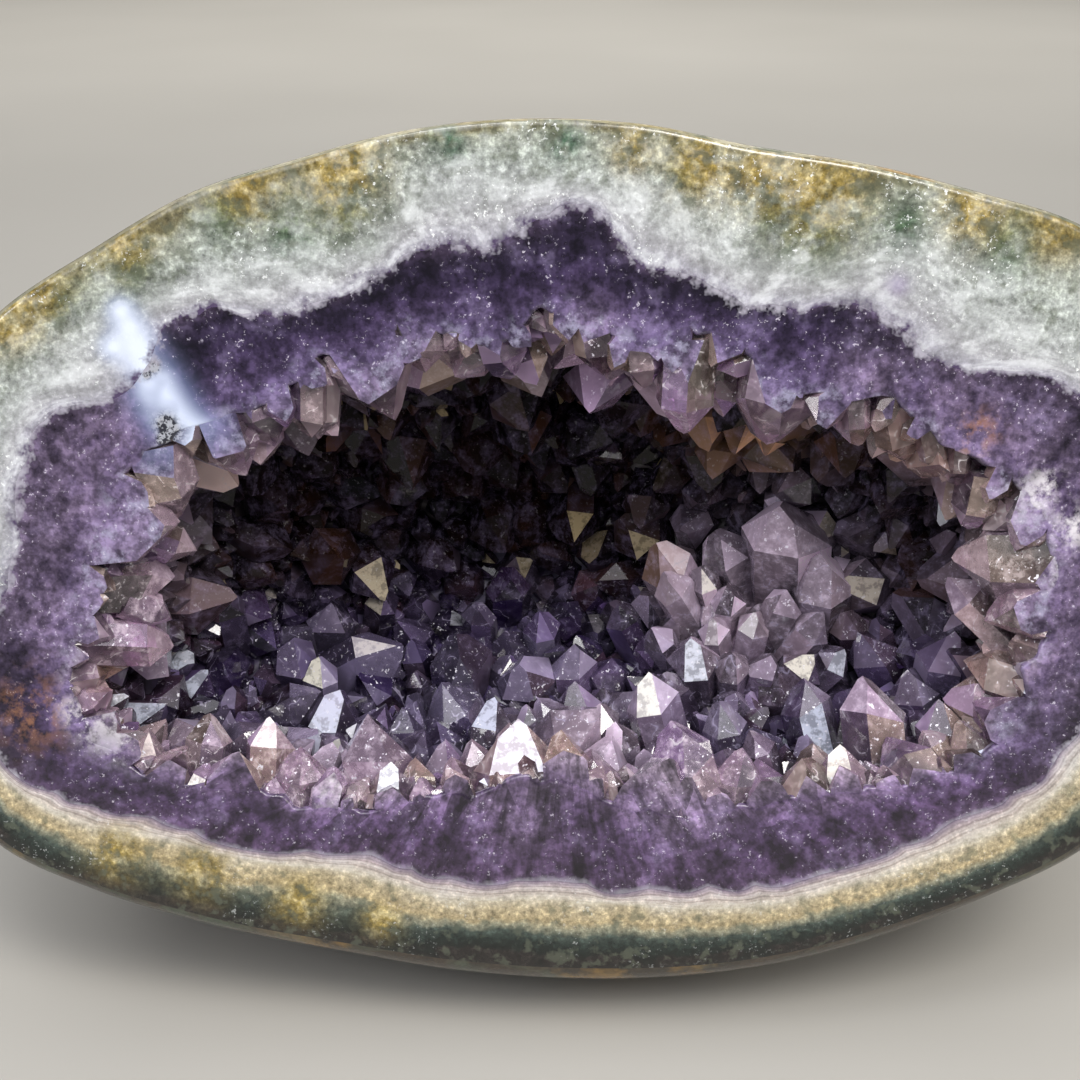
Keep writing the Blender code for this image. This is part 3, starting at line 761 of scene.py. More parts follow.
def linear(hexText):
    # sRGB hex made linear: each part over 12.92 near black, else (part + 0.055) / 1.055 to the 2.4
    parts = [int(hexText[i:i + 2], 16) / 255 for i in (1, 3, 5)]
    return (*[p / 12.92 if p <= 0.04045 else ((p + 0.055) / 1.055) ** 2.4 for p in parts], 1.0)


# short name: Blender's kind of node, its settings, the order its values are given in, its output
nodeKinds = {
    "place": ("TexCoord", {}, (), "Object"),
    "attribute": ("Attribute", {}, ("attribute_name",), "Fac"),
    "vector": ("Attribute", {}, ("attribute_name",), "Vector"),
    "height": ("SeparateXYZ", {}, ("Vector",), "Z"),
    "vectorTimes": ("VectorMath", {"operation": "MULTIPLY"}, (0, 1), 0),
    "noise": ("TexNoise", {"Roughness": 0.55}, ("Vector", "Scale", "Detail", "Roughness", "Distortion"), 0),
    "cells": ("TexVoronoi", {}, ("Vector", "Scale"), "Color"),
    "edges": ("TexVoronoi", {"feature": "DISTANCE_TO_EDGE"}, ("Vector", "Scale"), "Distance"),
    "ramp": ("ValToRGB", {}, (0, "stops"), 0),
    "mix": ("Mix", {"data_type": "RGBA"}, (0, 6, 7), 2),
    "shade": ("Mix", {"data_type": "RGBA", "blend_type": "MULTIPLY"}, (0, 6, 7), 2),
    "overlay": ("Mix", {"data_type": "RGBA", "blend_type": "OVERLAY"}, (0, 6, 7), 2),
    "plus": ("Math", {"operation": "ADD"}, (0, 1), 0),
    "minus": ("Math", {"operation": "SUBTRACT"}, (0, 1), 0),
    "times": ("Math", {"operation": "MULTIPLY"}, (0, 1), 0),
    "timesPlus": ("Math", {"operation": "MULTIPLY_ADD"}, (0, 1, 2), 0),
    "larger": ("Math", {"operation": "MAXIMUM"}, (0, 1), 0),
    "smaller": ("Math", {"operation": "MINIMUM"}, (0, 1), 0),
    "sine": ("Math", {"operation": "SINE"}, (0,), 0),
    "bump": ("Bump", {}, ("Height", "Strength", "Distance"), 0),
    "absorption": ("VolumeAbsorption", {}, ("Color", "Density"), 0),
    "shader": ("BsdfPrincipled", {}, ("Base Color", "Roughness", "Normal", "IOR", "Transmission Weight",
                                      "Specular IOR Level"), 0),
    "output": ("OutputMaterial", {}, ("Surface", "Volume"), None),
}


def addNode(tree, kind, *values, **more):
    # adds one node of a kind from the table. A value is a socket to link, a number, a hex colour, a
    # name, or a ramp's stops, each a place and a hex colour or grey. Lower-case keys are settings.
    blenderKind, settings, order, output = nodeKinds[kind]
    node = tree.nodes.new("ShaderNode" + blenderKind)
    for key, value in {**settings, **dict(zip(order, values)), **more}.items():
        if key == "stops":
            for place, _ in value[2:]:
                node.color_ramp.elements.new(place)
            for element, (place, shade) in zip(node.color_ramp.elements, value):
                element.position = place
                element.color = linear(shade) if isinstance(shade, str) else (shade, shade, shade, 1)
        elif isinstance(key, str) and key[0].islower():
            setattr(node, key, value)
        elif isinstance(value, bpy.types.NodeSocket):
            tree.links.new(value, node.inputs[key])
        else:
            node.inputs[key].default_value = linear(value) if isinstance(value, str) else value
    return node.outputs[output] if node.outputs else None


def newMaterial(name):
    # an empty material, and addNode for its own nodes
    made = bpy.data.materials.new(name)
    made.use_nodes = True
    made.node_tree.nodes.clear()
    return made, partial(addNode, made.node_tree)


def scaleOf(size):
    # a pattern's scale from the size of its grain in mm, since places are in metres
    return 1 / mm / size


agate = {
    # spots on the face: u, v and radius in mm
    "ochre": ((-31, 58, 6.8), (-45, 55, 4.8), (-65, 48, 5.6), (-79, 40, 5.6), (43, 56, 8.1),
              (25, 59, 5.6), (34, 57, 4.8), (67, 52, 5.2), (80, 49, 4.8), (14, 61, 3.2), (-84, 35, 4.8),
              (-71, -53.5, 4.5), (-57, -57, 4.5), (-41, -62.6, 4), (-27, -65.8, 3)),
    "green": ((-30, 53, 6.1), (-39, 50, 4.8), (-48, 51, 4.2), (-64, 44, 4.8), (-75, 38, 3.9),
              (4, 62, 3.0), (43, 50, 6.8), (37, 51, 4.0), (23, 58, 3.5), (56, 50, 4.0), (73, 47, 4.8),
              (-14, 62, 2.8)),
    "violet": ((55.7, 40.6, 1.8), (43, 36, 1.6)),
    "sparkle": ((27, 52, 3.4), (31, 49, 2.2), (-46, 44, 3.0), (-31, 46, 2.6), (70, 44, 3.0), (-72, 30, 3.0)),
    # the next spots mark a painted reflection of the lamps on the polish, in bluish white
    "glow": ((-65.5, 36.5, 2.0), (-64.3, 34, 2.4), (-63.2, 31.2, 2.8), (-62.2, 28.5, 3.0), (-67, 31, 2.0)),
    # colours through the layers, from the skin at 0 to the amethyst at 1, above and below
    "top": ((0.0, "#6A654E"), (0.035, "#85846E"), (0.09, "#969A8E"), (0.30, "#9BA19A"),
            (0.44, "#A0A5A1"), (0.52, "#A3A7A5"), (0.66, "#A8ABAB"), (0.84, "#A3A3A7"),
            (0.94, "#A09FA8"), (1.0, "#97949F")),
    "low": ((0.0, "#262220"), (0.04, "#191D1A"), (0.13, "#222B27"), (0.20, "#3C4640"),
            (0.27, "#85836F"), (0.33, "#A09170"), (0.43, "#A89B7E"), (0.54, "#B6AE9D"),
            (0.66, "#BBB2A8"), (0.74, "#A0958F"), (0.80, "#BDB4B0"), (0.86, "#9A8D8E"),
            (0.93, "#A0939A"), (1.0, "#8C7E8C")),
    "beside": "#4A3E58",  # past the ragged border, where the amethyst shines through
    "greenTint": "#435A49",
    "ochreTints": ((0.34, "#6A5C2E"), (0.50, "#8A7842"), (0.64, "#B4A67A")),
    # the tints of the painted reflection
    "paintedReflectionTints": ((0.3, "#A2AFD0"), (0.95, "#CCD4E4")),
    "violetTint": "#7A6A90",
    "wisp": "#D3D6D8", "joint": "#575C4E", "fleck": "#E6E9E8",
    # sizes in mm
    "drift": 9, "cloud": 2.6, "polish": 0.6, "patch": 4.0, "sugar": 1.1, "wispSize": 5.0, "chip": 0.8,
    "threads": 95.0,      # how fast the threads follow one another, in radians over all the layers
    "border": {"size": 3.4, "reach": 10.0, "calm": -0.75},  # its raggedness, in mm, and less below
    "IOR": 1.54,
}


def borderShare(add, where, low):
    # 0 in the amethyst and 1 in the agate, along a ragged line that both polished materials share,
    # calmer below
    size, reach, calm = agate["border"].values()
    ragged = add("timesPlus", add("noise", where, scaleOf(size), 3, 0.7), reach, -reach / 2)
    ragged = add("times", ragged, add("timesPlus", low, calm, 1.0))
    away = add("plus", add("attribute", "border"), ragged)
    return add("ramp", add("timesPlus", away, 0.2, 0.5), ((0.34, 0.0), (0.50, 0.5), (0.72, 1.0)))


def agateMaterial():
    # banded agate, sawn and polished: a wet gloss over granular outer quartz, cloudy milk and fine bands
    made, add = newMaterial("polished agate")
    where = add("place")
    slow = add("noise", where, scaleOf(agate["drift"]), 2)
    mid = add("noise", where, scaleOf(agate["cloud"]), 3)
    fine = add("noise", where, scaleOf(agate["polish"]), 1, 0.7)
    place, low, green, ochre, sparkle, violet, glow = (
        add("attribute", name) for name in ("layer", "low", "green", "ochre", "sparkle", "violet", "glow"))
    # the layers sway, least beside the amethyst and below
    sway = add("timesPlus", slow, 0.34, -0.17)
    sway = add("plus", sway, add("timesPlus", mid, 0.24, -0.12))
    calm = add("timesPlus", low, -0.45, 1.0)
    inside = add("times", add("minus", 1.0, place), 2.2, use_clamp=True)
    layer = add("timesPlus", sway, add("times", inside, calm), place)
    colour = add("mix", low, add("ramp", layer, agate["top"]), add("ramp", layer, agate["low"]))
    outer = add("ramp", layer, ((0.0, 1.0), (0.40, 1.0), (0.62, 0.25), (1.0, 0.12)))
    # green and ochre patches, mottled
    patchy = add("noise", where, scaleOf(agate["patch"]), 3, 0.65)
    green = add("times", green, add("ramp", patchy, ((0.38, 0.4), (0.54, 1.2))))
    colour = add("mix", add("times", green, 0.9), colour, agate["greenTint"])
    ochre = add("times", ochre, add("ramp", patchy, ((0.34, 0.35), (0.52, 1.2))))
    colour = add("mix", add("times", ochre, 0.95), colour, add("ramp", mid, agate["ochreTints"]))
    # grains a little over 1 mm, from dark joints to bright broken ones, strongest in the outer part
    sugar = add("noise", where, scaleOf(agate["sugar"]), 2, 0.8)
    grain = add("ramp", sugar, ((0.28, 0.42), (0.46, 0.85), (0.56, 1.04), (0.70, 1.7)))
    colour = add("shade", add("timesPlus", outer, 0.6, 0.4), colour, grain)
    # clouds and wisps drawn out along the layers, fewer below
    along = add("vectorTimes", add("vector", "along"), (mm, mm, mm))
    clouds = add("noise", along, scaleOf(agate["wispSize"]), 4, 0.62)
    shades = add("ramp", clouds, ((0.36, 0.66), (0.50, 0.96), (0.64, 1.15)))
    colour = add("shade", add("timesPlus", low, -0.5, 0.9), colour, shades)
    wisps = add("ramp", clouds, ((0.50, 0.0), (0.62, 1.0)))
    milky = add("timesPlus", add("larger", outer, low), -0.35, 0.5)
    milky = add("times", milky, add("minus", 1.0, add("times", low, outer)))
    colour = add("mix", add("times", wisps, milky), colour, agate["wisp"])
    joints = add("ramp", mid, ((0.36, 1.0), (0.45, 0.0)))
    colour = add("mix", add("times", joints, add("times", outer, 0.5)), colour, agate["joint"])
    # threads of quartz that follow the layers, finest below, next to the amethyst
    waved = add("timesPlus", mid, 0.10, place)
    threads = add("sine", add("times", waved, agate["threads"]))
    inner = add("times", low, add("ramp", place, ((0.60, 0.0), (0.72, 1.0))))
    shown = add("larger", inner, add("ramp", slow, ((0.50, 0.0), (0.62, 0.6))))
    threads = add("times", threads, shown)
    colour = add("shade", 1.0, colour, add("timesPlus", threads, 0.13, 1.0))
    # broken grains that show white, in groups
    flecks = add("ramp", add("noise", where, scaleOf(agate["chip"]), 2, 0.8), ((0.61, 0.0), (0.69, 1.0)))
    groups = add("larger", add("ramp", slow, ((0.48, 0.0), (0.62, 1.0))), sparkle)
    groups = add("times", groups, add("timesPlus", low, -0.55, 0.85))
    colour = add("mix", add("times", flecks, groups), colour, agate["fleck"])
    colour = add("mix", add("times", violet, 0.6), colour, agate["violetTint"])
    # painted reflection of the lamps on the polish, in bluish white, over its spots
    colour = add("mix", glow, colour, add("ramp", glow, agate["paintedReflectionTints"]))
    colour = add("mix", borderShare(add, where, low), agate["beside"], colour)
    gloss = add("timesPlus", fine, 0.16, 0.08)
    bump = add("bump", fine, 0.12, 0.2 * mm)
    add("output", add("shader", colour, gloss, bump, agate["IOR"]))
    return made


skin = {
    "dark": ((0.30, "#2E2822"), (0.44, "#483E33"), (0.54, "#3A352E"), (0.64, "#5C513F"), (0.74, "#6E6248")),
    "pale": ((0.30, "#6B6653"), (0.44, "#8C8770"), (0.54, "#A09A84"), (0.64, "#857D5E"), (0.74, "#9C8A5A")),
    # patches over them: colour, size in mm, detail and roughness of the noise, then its ramp
    "patches": (("#4B5546", 8, 4, 0.55, ((0.50, 0.0), (0.66, 0.7))),
                ("#8F6F38", 14, 4, 0.55, ((0.56, 0.0), (0.66, 0.7))),
                ("#2B2724", 5, 6, 0.70, ((0.58, 0.0), (0.70, 0.8)))),
    "drift": 30, "cloud": 8, "polish": 1.2, "grain": 2.2,  # in mm
    "bands": 70.0,  # how fast the worn bands follow one another, in radians over the noise
    "IOR": 1.54,
}


def skinMaterial():
    # the geode's own skin, ground and polished: olive-grey above, dark brown below, with worn bands
    made, add = newMaterial("polished geode skin")
    where = add("place")
    slow = add("noise", where, scaleOf(skin["drift"]), 4, 0.6, 0.4)
    mid = add("noise", where, scaleOf(skin["cloud"]), 4)
    fine = add("noise", where, scaleOf(skin["polish"]), 2)
    above = add("timesPlus", add("height", where), 9.0, -0.35, use_clamp=True)
    colour = add("mix", above, add("ramp", slow, skin["dark"]), add("ramp", slow, skin["pale"]))
    for tint, size, detail, rough, stops in skin["patches"]:
        patch = add("ramp", add("noise", where, scaleOf(size), detail, rough), stops)
        colour = add("mix", patch, colour, tint)
    bands = add("sine", add("times", add("timesPlus", slow, 1.0, mid), skin["bands"]))
    colour = add("shade", 1.0, colour, add("timesPlus", bands, 0.10, 1.0))
    joints = add("ramp", add("edges", where, scaleOf(skin["grain"])), ((0.0, 0.8), (0.12, 1.0)))
    colour = add("shade", 0.5, colour, joints)
    gloss = add("timesPlus", fine, 0.22, 0.10)
    bump = add("bump", add("plus", mid, fine), 0.25, 0.4 * mm)
    add("output", add("shader", colour, gloss, bump, skin["IOR"]))
    return made


amethyst = {
    # spots on the face: u, v and radius in mm
    # the next spots mark a painted reflection of the lamps on the polish, in bluish white
    "glow": ((-64.3, 34, 2.4), (-63.2, 31.2, 2.8), (-62.2, 28.5, 3.0), (-61, 25.5, 3.4), (-59.8, 22.5, 3.6),
             (-58, 19.5, 3.6), (-55.5, 17.3, 3.2), (-52.8, 17, 2.4)),
    "vug": ((-60.8, 27.9, 0.9), (-62, 26.6, 0.6), (-59.3, 18.8, 1.5), (-58.3, 17.2, 1.1), (-60, 16.4, 0.9)),
    "iron": ((-84, -29, 5.5), (-71, -22, 3.6), (76, -21, 3.6), (68, 16, 3.0), (70, 18, 2.6)),
    "white": ((-72.5, -32, 3.4), (-68, -35, 2.4), (-77, -29, 2.2), (-34, -40.5, 2.2), (-30, -40, 1.6),
              (78, 6, 3.0), (86, 2, 3.0), (81, 9, 2.2)),
    "pale": ((-77, 3, 13.7), (-79, -13, 10), (-70, 16, 8), (78, 10, 13), (83, -7, 10), (67, 20, 8),
             (82, -20, 10), (-3, -45, 7), (24, -45, 7), (52, 25, 6), (8, 34, 4)),
    # across the growth: 0.75 lies at the edge of the hollow, 1 some way out on the sawn points
    "zones": ((0.0, "#3B3143"), (0.10, "#261F30"), (0.26, "#2A2237"), (0.42, "#382D48"),
              (0.56, "#463A57"), (0.68, "#534766"), (0.78, "#5E5270"), (1.0, "#685C74")),
    "lowZones": ((0.0, "#54465C"), (0.08, "#44344E"), (0.32, "#40304C"), (0.54, "#493957"),
                 (0.68, "#584864"), (0.78, "#665673"), (1.0, "#8E7F92")),
    "beside": "#9C99A4",  # past the ragged border, where the agate begins
    # the bluish colour for the hollow's upper edge is a painted highlight
    "paleTint": "#877692", "veil": "#85799A", "paintedRimHighlight": "#9C99B2", "fleck": "#CFC8D8",
    # the tints of the painted reflection
    "paintedReflectionTints": ((0.3, "#8592BC"), (0.95, "#C6CFE4")),
    "vugTints": ((0.44, "#2C2C34"), (0.56, "#9A9CA4")),
    "whiteTint": "#D8D4D8", "ironTint": "#8A6048",
    # the wall under the points: its rim, then above and below further in; above is painted nearly black as
    # the shade under the hollow's roof
    "rim": "#A79DB4",
    "wallAboveShaded": ((0.35, "#0E0A10"), (0.60, "#1E141C")),
    "wallBelow": ((0.35, "#231A34"), (0.60, "#463A60")),
    # sizes in mm
    "drift": 10, "cloud": 3.2, "polish": 0.8, "column": 2.6, "cell": 5.5, "mist": 6, "grit": 1.4,
    "chip": 0.8,
    "IOR": 1.544,
}


def massiveColour(add, where, slow, mid, growth, low):
    # zones across the growth, columns along it, then clouds, grit and bright broken grains
    sway = add("timesPlus", slow, 0.5, -0.25)
    sway = add("plus", sway, add("timesPlus", mid, 0.25, -0.125))
    zone = add("timesPlus", sway, add("times", growth, 5.0, use_clamp=True), growth)
    zone = add("times", zone, 0.75)
    colour = add("mix", low, add("ramp", zone, amethyst["zones"]), add("ramp", zone, amethyst["lowZones"]))
    pale = add("times", add("attribute", "pale"), add("ramp", mid, ((0.34, 0.25), (0.60, 1.0))))
    colour = add("mix", add("times", pale, 0.6), colour, amethyst["paleTint"])
    along = add("vectorTimes", add("vector", "streak"), (mm, mm, mm))
    columns = add("noise", along, scaleOf(amethyst["column"]), 3, 0.65)
    columns = add("ramp", columns, ((0.32, 0.12), (0.50, 0.5), (0.68, 0.88)))
    colour = add("overlay", add("timesPlus", low, 0.55, 0.3), colour, columns)
    cells = add("cells", along, scaleOf(amethyst["cell"]))
    cells = add("ramp", cells, ((0.25, 0.28), (0.50, 0.5), (0.75, 0.78)))
    sections = add("ramp", growth, ((0.40, 0.0), (0.85, 1.0)))
    colour = add("overlay", add("times", sections, add("timesPlus", low, 0.55, 0.25)), colour, cells)
    drift = add("noise", where, scaleOf(amethyst["mist"]), 3, 0.7)
    clouds = add("ramp", drift, ((0.36, 0.12), (0.50, 0.44), (0.64, 0.66)))
    colour = add("overlay", 0.85, colour, clouds)
    colour = add("mix", add("ramp", drift, ((0.54, 0.0), (0.70, 0.28))), colour, amethyst["veil"])
    grit = add("noise", where, scaleOf(amethyst["grit"]), 2, 0.75)
    grit = add("ramp", grit, ((0.38, 0.20), (0.50, 0.5), (0.62, 0.80)))
    colour = add("overlay", 0.6, colour, grit)
    # painted highlight: a bluish sheen in places along the edge of the hollow, on the upper side, where its
    # rounded edge would catch the light
    paintedRimHighlight = add("times", add("ramp", growth, ((0.78, 0.0), (1.0, 1.0))),
               add("ramp", mid, ((0.50, 0.0), (0.64, 0.65))))
    paintedRimHighlight = add("times", paintedRimHighlight, add("minus", 1.0, low))
    colour = add("mix", paintedRimHighlight, colour, amethyst["paintedRimHighlight"])
    flecks = add("ramp", add("noise", where, scaleOf(amethyst["chip"]), 2, 0.8), ((0.63, 0.0), (0.72, 1.0)))
    flecks = add("times", flecks, add("ramp", drift, ((0.42, 0.0), (0.54, 1.0))))
    return add("mix", add("times", flecks, 0.65), colour, amethyst["fleck"])


def massiveMaterial():
    # massive amethyst, sawn and polished: glassy gloss over mist, dark clouds and columns that run inwards
    made, add = newMaterial("polished massive amethyst")
    where = add("place")
    slow = add("noise", where, scaleOf(amethyst["drift"]), 2)
    mid = add("noise", where, scaleOf(amethyst["cloud"]), 4, 0.68)
    fine = add("noise", where, scaleOf(amethyst["polish"]), 2, 0.7)
    growth, low, glow, vug, white, wall, iron = (
        add("attribute", name) for name in ("growth", "lowSide", "glow", "vug", "white", "wall", "iron"))
    colour = massiveColour(add, where, slow, mid, growth, low)
    # painted reflection of the lamps on the polish, in bluish white, over its spots
    glow = add("times", glow, add("ramp", slow, ((0.30, 0.6), (0.50, 1.0))))
    colour = add("mix", glow, colour, add("ramp", glow, amethyst["paintedReflectionTints"]))
    vug = add("times", vug, 2.0, use_clamp=True)
    colour = add("mix", vug, colour, add("ramp", fine, amethyst["vugTints"]))
    white = add("times", white, add("ramp", mid, ((0.42, 0.0), (0.56, 1.0))))
    colour = add("mix", add("times", white, 0.85), colour, amethyst["whiteTint"])
    colour = add("mix", borderShare(add, where, low), colour, amethyst["beside"])
    # the wall under the points: milky at the rim, violet on the floor, and painted nearly black at the back
    # and above, as the shade that the hollow's roof casts
    deep = add("mix", low, add("ramp", mid, amethyst["wallAboveShaded"]), add("ramp", mid, amethyst["wallBelow"]))
    colour = add("mix", add("ramp", wall, ((0.0, 0.0), (0.01, 1.0))), colour, amethyst["rim"])
    inside = add("ramp", wall, ((0.05, 0.0), (0.15, 1.0)))
    colour = add("mix", inside, colour, deep)
    iron = add("times", iron, add("ramp", mid, ((0.46, 0.0), (0.60, 0.8))))
    colour = add("mix", iron, colour, amethyst["ironTint"])
    gloss = add("timesPlus", inside, 0.3, add("timesPlus", fine, 0.16, 0.06))
    bump = add("bump", fine, 0.05, 0.2 * mm)
    add("output", add("shader", colour, gloss, bump, amethyst["IOR"]))
    return made


quartz = {
    # tints by crystal: at the rim, on the floor of the hollow and at its back, where the near-black tints
    # are painted shade
    "rim": ((0.0, "#DDBEE0"), (0.35, "#ECCFD6"), (0.6, "#BD9AD0"), (0.85, "#E8CBC0")),
    "floor": ((0.0, "#45305F"), (0.25, "#6C647E"), (0.5, "#2A1C46"), (0.75, "#5A5268"), (0.9, "#3E2A3E")),
    "back": ((0.0, "#120A0C"), (0.35, "#1F120F"), (0.6, "#0A0608"), (0.85, "#2E1C14")),
    "misty": "#C2AEBF", "warm": "#C79A78",
    # how light each facet is, and each place from the root to the tip
    "tones": ((0.0, 0.24), (0.32, 0.62), (0.58, 1.0), (0.80, 1.45), (1.0, 2.5)),
    "rootToTip": ((0.10, 0.30), (0.50, 0.80), (1.0, 1.6)),
    # veils inside, at the rim and then further in, where they are clear or misty
    "veils": ("#E6DADF", "#83779A", "#C9BBCC"),
    "cracks": ("#F4EEF2", "#A79FBA"),
    # the painted glints' colours: white or bluish, and honey at the back
    "etched": ((0.3, "#E6E2D4"), (0.6, "#D5DCF0")), "paintedGlintDeep": "#A08F6E",
    # the painted sparkles' colour
    "chip": "#DCDAE4",
    "roughness": ((0.0, 0.015), (0.55, 0.04), (0.75, 0.10), (0.88, 0.22), (0.96, 0.38)),
    "veil": 2.4, "satin": 0.7, "crack": 5.0, "paintedSparkleSize": 0.9,  # in mm
    "passes": "#B361CE", "density": 60.0,  # the colour that gets through, and its density per metre
    "IOR": 1.544,
}


def pointMaterial():
    # amethyst points as grown: glass-clear quartz, misty and pale at the rim, deep purple further in
    made, add = newMaterial("clear amethyst points")
    where = add("place")
    facet, crystal, tipward, inward, low, misty, warm, etched, upwards = (
        add("attribute", name) for name in ("facet", "crystal", "tipward", "inward", "low", "misty", "warm",
                                            "etched", "upwards"))
    veils = add("noise", where, scaleOf(quartz["veil"]), 3, 0.72)
    fine = add("noise", where, scaleOf(quartz["satin"]), 1, 0.7)
    rim, floor, back = (add("ramp", crystal, quartz[key]) for key in ("rim", "floor", "back"))
    # crystals low in the hollow or misty count as lit; the others, deep in, take the near-black tints of
    # painted shade and less shine
    lit = add("larger", low, misty)
    depth = add("ramp", inward, ((0.10, 0.0), (0.28, 1.0)))
    inPaintedShade = add("times", depth, add("minus", 1.0, lit))
    tint = add("mix", depth, rim, add("mix", lit, back, floor))
    tint = add("mix", add("times", add("times", misty, depth), 0.72), tint, quartz["misty"])
    tint = add("mix", add("times", warm, 0.75), tint, quartz["warm"])
    # the tip is clearer and lighter than the root, and every facet has its own tone
    tone = add("times", add("ramp", facet, quartz["tones"]), add("ramp", tipward, quartz["rootToTip"]))
    tone = add("times", tone, add("timesPlus", depth, -0.3, 1.3))
    tone = add("smaller", tone, add("timesPlus", depth, 2.2, 1.15))
    tint = add("shade", 1.0, tint, tone)
    # mist: cloudy veils inside, thicker in some crystals, and thin cracks that catch the light
    mist = add("ramp", veils, ((0.42, 0.0), (0.54, 0.3), (0.68, 1.0)))
    mist = add("times", mist, add("timesPlus", misty, 0.5, 0.5))
    rimVeil, clearVeil, mistyVeil = quartz["veils"]
    cloudy = add("mix", depth, rimVeil, add("mix", misty, clearVeil, mistyVeil))
    tint = add("mix", add("times", mist, 0.6), tint, cloudy)
    cracks = add("ramp", add("noise", where, scaleOf(quartz["crack"]), 1),
                 ((0.485, 0.0), (0.5, 1.0), (0.515, 0.0)))
    cracks = add("times", cracks, add("ramp", veils, ((0.48, 0.0), (0.56, 1.0))))
    cracks = add("times", cracks, add("timesPlus", inPaintedShade, -0.9, 1.0))
    tint = add("mix", add("times", cracks, 0.8), tint, add("mix", depth, *quartz["cracks"]))
    # painted glints on facets that face the front lamp or the camera: satin white or bluish, and honey-brown
    # at the back
    white = add("mix", inPaintedShade, add("ramp", crystal, quartz["etched"]), quartz["paintedGlintDeep"])
    white = add("shade", 1.0, white, add("ramp", veils, ((0.42, 0.5), (0.52, 1.0))))
    tint = add("mix", etched, tint, white)
    # painted sparkles: white dots on the facets which look up and forwards, towards the light, fewer at the
    # back painted as in shade
    paintedSparkles = add("ramp", add("noise", where, scaleOf(quartz["paintedSparkleSize"]), 2, 0.7), ((0.63, 0.0), (0.69, 1.0)))
    paintedSparkles = add("times", paintedSparkles, upwards)
    paintedSparkles = add("times", paintedSparkles, add("timesPlus", inPaintedShade, -0.85, 1.0))
    tint = add("mix", paintedSparkles, tint, quartz["chip"])
    # most facets are mirror-bright, some satin and a few frosted
    satin = add("ramp", fine, ((0.56, 0.0), (0.72, 0.10)))
    gloss = add("plus", add("ramp", facet, quartz["roughness"]), satin)
    # clearest at the rim, less so at the back that is painted as in shade, and where mist, cracks, painted
    # glints or painted sparkles lie
    clear = add("timesPlus", depth, -0.26, 0.82)
    clear = add("timesPlus", inPaintedShade, -0.36, clear)
    clear = add("timesPlus", add("larger", mist, cracks), -0.5, clear, use_clamp=True)
    clear = add("timesPlus", add("larger", etched, paintedSparkles), -0.9, clear, use_clamp=True)
    # less specular where the back is painted as in shade
    shine = add("timesPlus", inPaintedShade, -0.65, 0.75)
    bump = add("bump", fine, 0.05, 0.1 * mm)
    add("output", add("shader", tint, gloss, bump, quartz["IOR"], clear, shine),
        add("absorption", quartz["passes"], quartz["density"]))
    return made


ground = {
    "radius": 2500,
    "tints": ((0.3, "#9C9993"), (0.7, "#A3A09A")), "mottle": 400,
    "roughness": 0.7,
}


def makeFloor():
    # plain pale floor, one disc far wider than the view
    turn = np.radians(np.arange(0, 360, 3))
    ring = np.stack([np.cos(turn), np.sin(turn), 0 * turn], -1) * ground["radius"] * mm
    mesh = bpy.data.meshes.new("floor")
    mesh.from_pydata(ring.tolist(), [], [list(range(len(ring)))])
    piece = bpy.data.objects.new("floor", mesh)
    bpy.context.scene.collection.objects.link(piece)
    # matt paper, faintly uneven, so that it has a tone of its own without any pattern
    made, add = newMaterial("matt pale paper")
    colour = add("ramp", add("noise", add("place"), scaleOf(ground["mottle"]), 2), ground["tints"])
    add("output", add("shader", colour, ground["roughness"]))
    mesh.materials.append(made)


studio = {
    "world": ("#E2E4E8", 0.22),
    # name: place and target in metres, size in metres, power in watts, colour
    "lights": {
        "sky": ((0.00, -0.35, 1.25), (0, 0, 0.08), (2.2, 1.5), 14, "#F6F8FF"),
        "backdrop": ((0.00, 1.30, 1.00), (0, 1.60, 0), (1.8, 0.6), 20, "#FFFCF6"),
        "panel": ((0.00, -0.62, 0.88), (0, 0, 0.08), (1.5, 0.6), 5, "#FFFFFF"),
        "front": ((0.28, -0.55, 0.90), (0, 0, 0.08), (0.30, 0.30), 5, "#FFFAF2"),
        "glint left": ((-0.78, -0.48, 0.55), (0, 0, 0.08), (0.25, 0.25), 2.0, "#F2F5FF"),
        "glint right": ((0.78, -0.48, 0.60), (0, 0, 0.08), (0.25, 0.25), 2.0, "#FFF8EA"),
        "glint high": ((-0.16, -0.34, 1.08), (0, 0, 0.08), (0.25, 0.25), 2.0, "#FFFFFF"),
        "glint low": ((-0.88, -0.72, 0.26), (0, 0, 0.08), (0.25, 0.25), 1.4, "#FFFFFF"),
    },
    "lens": 50, "sensor": 36, "distance": 241.94, "elevation": math.radians(26),
    "bounces": {"diffuse": 2, "glossy": 2, "transmission": 6},
}


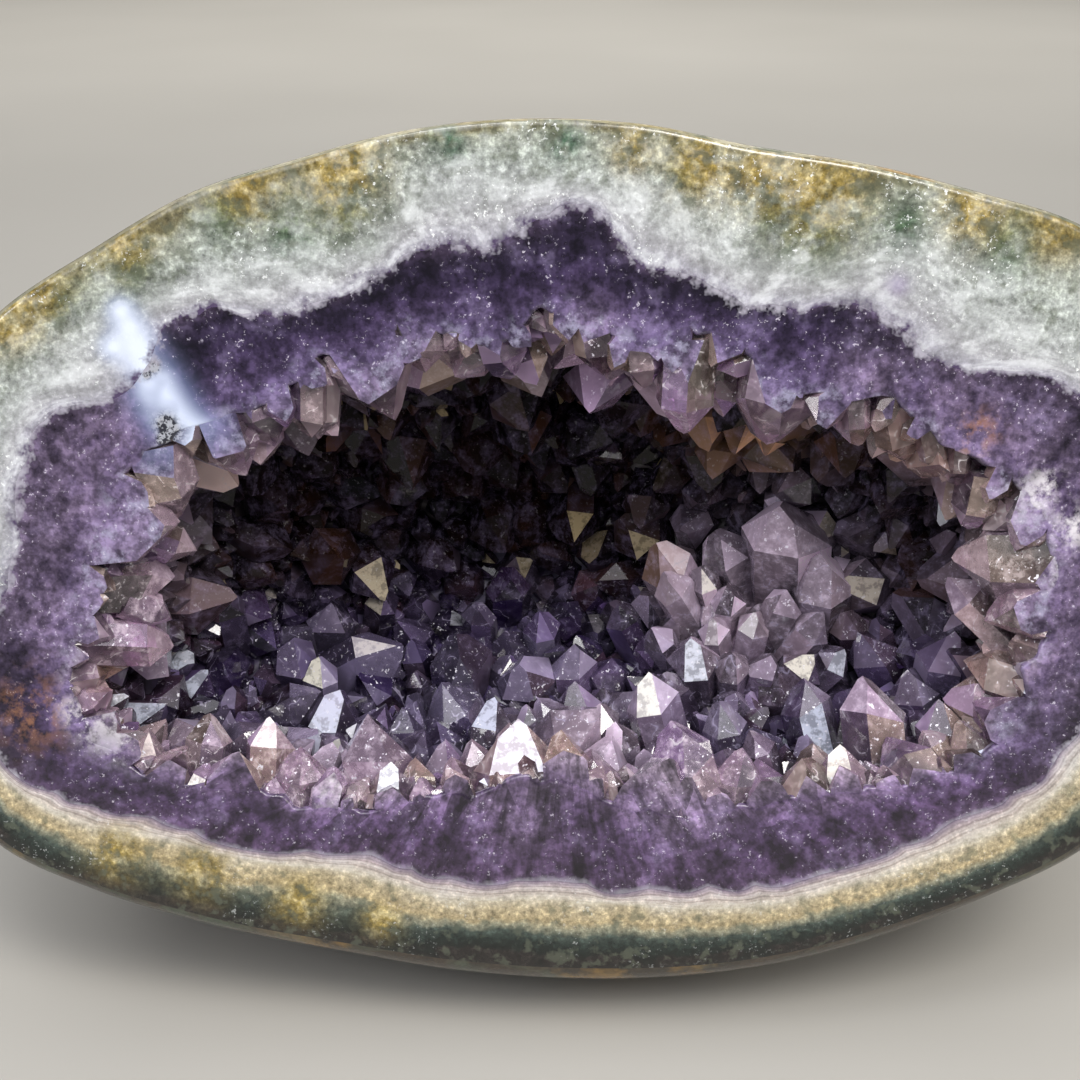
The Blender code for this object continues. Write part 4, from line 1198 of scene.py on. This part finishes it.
def aim(piece, target):
    # turns a lamp or the camera to look along its own -Z at the target
    piece.rotation_euler = (Vector(target) - piece.location).to_track_quat("-Z", "Y").to_euler()


def makeStudio():
    # even grey-white surroundings, eight soft lamps, and the camera, in front and from above
    world = bpy.data.worlds.new("studio")
    bpy.context.scene.world = world
    world.use_nodes = True
    back = world.node_tree.nodes["Background"]
    back.inputs[0].default_value = linear(studio["world"][0])
    back.inputs[1].default_value = studio["world"][1]
    for name, (place, target, size, power, colour) in studio["lights"].items():
        lamp = bpy.data.lights.new(name, "AREA")
        lamp.shape, (lamp.size, lamp.size_y) = "RECTANGLE", size
        lamp.energy, lamp.color = power, linear(colour)[:3]
        holder = bpy.data.objects.new(name, lamp)
        bpy.context.scene.collection.objects.link(holder)
        holder.location = place
        aim(holder, target)
    camera = bpy.data.cameras.new("camera")
    camera.lens, camera.sensor_width, camera.clip_start = studio["lens"], studio["sensor"], 0.01
    holder = bpy.data.objects.new("camera", camera)
    bpy.context.scene.collection.objects.link(holder)
    middle = Vector(face["origin"]) * mm
    up = studio["elevation"]
    holder.location = middle + Vector((0, -math.cos(up), math.sin(up))) * studio["distance"] * mm
    aim(holder, middle)
    bpy.context.scene.camera = holder
    bpy.context.scene.view_settings.view_transform = "Standard"
    for kind, bounces in studio["bounces"].items():
        setattr(bpy.context.scene.cycles, kind + "_bounces", bounces)


def dress(piece, node):
    # keeps a piece inside the model's box, and lets it stand for its solid
    low, high = (np.array(corner) for corner in cadBox)
    flat = np.empty(len(piece.data.vertices) * 3, np.float32)
    piece.data.vertices.foreach_get("co", flat)
    flat = np.clip(flat.reshape(-1, 3), low, high)
    piece.data.vertices.foreach_set("co", flat.astype(np.float32).ravel())
    piece.data.update()
    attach(piece, "root")
    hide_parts(node)


makeFloor()
makeStudio()
print("studio ready")
dress(makeRind(), "rind")
print("rind ready")
sawnAmethyst = massiveMaterial()
dress(makeCrust(sawnAmethyst), "crust")
print("crust ready")
dress(makePoints(sawnAmethyst), "crust")
print("points ready")
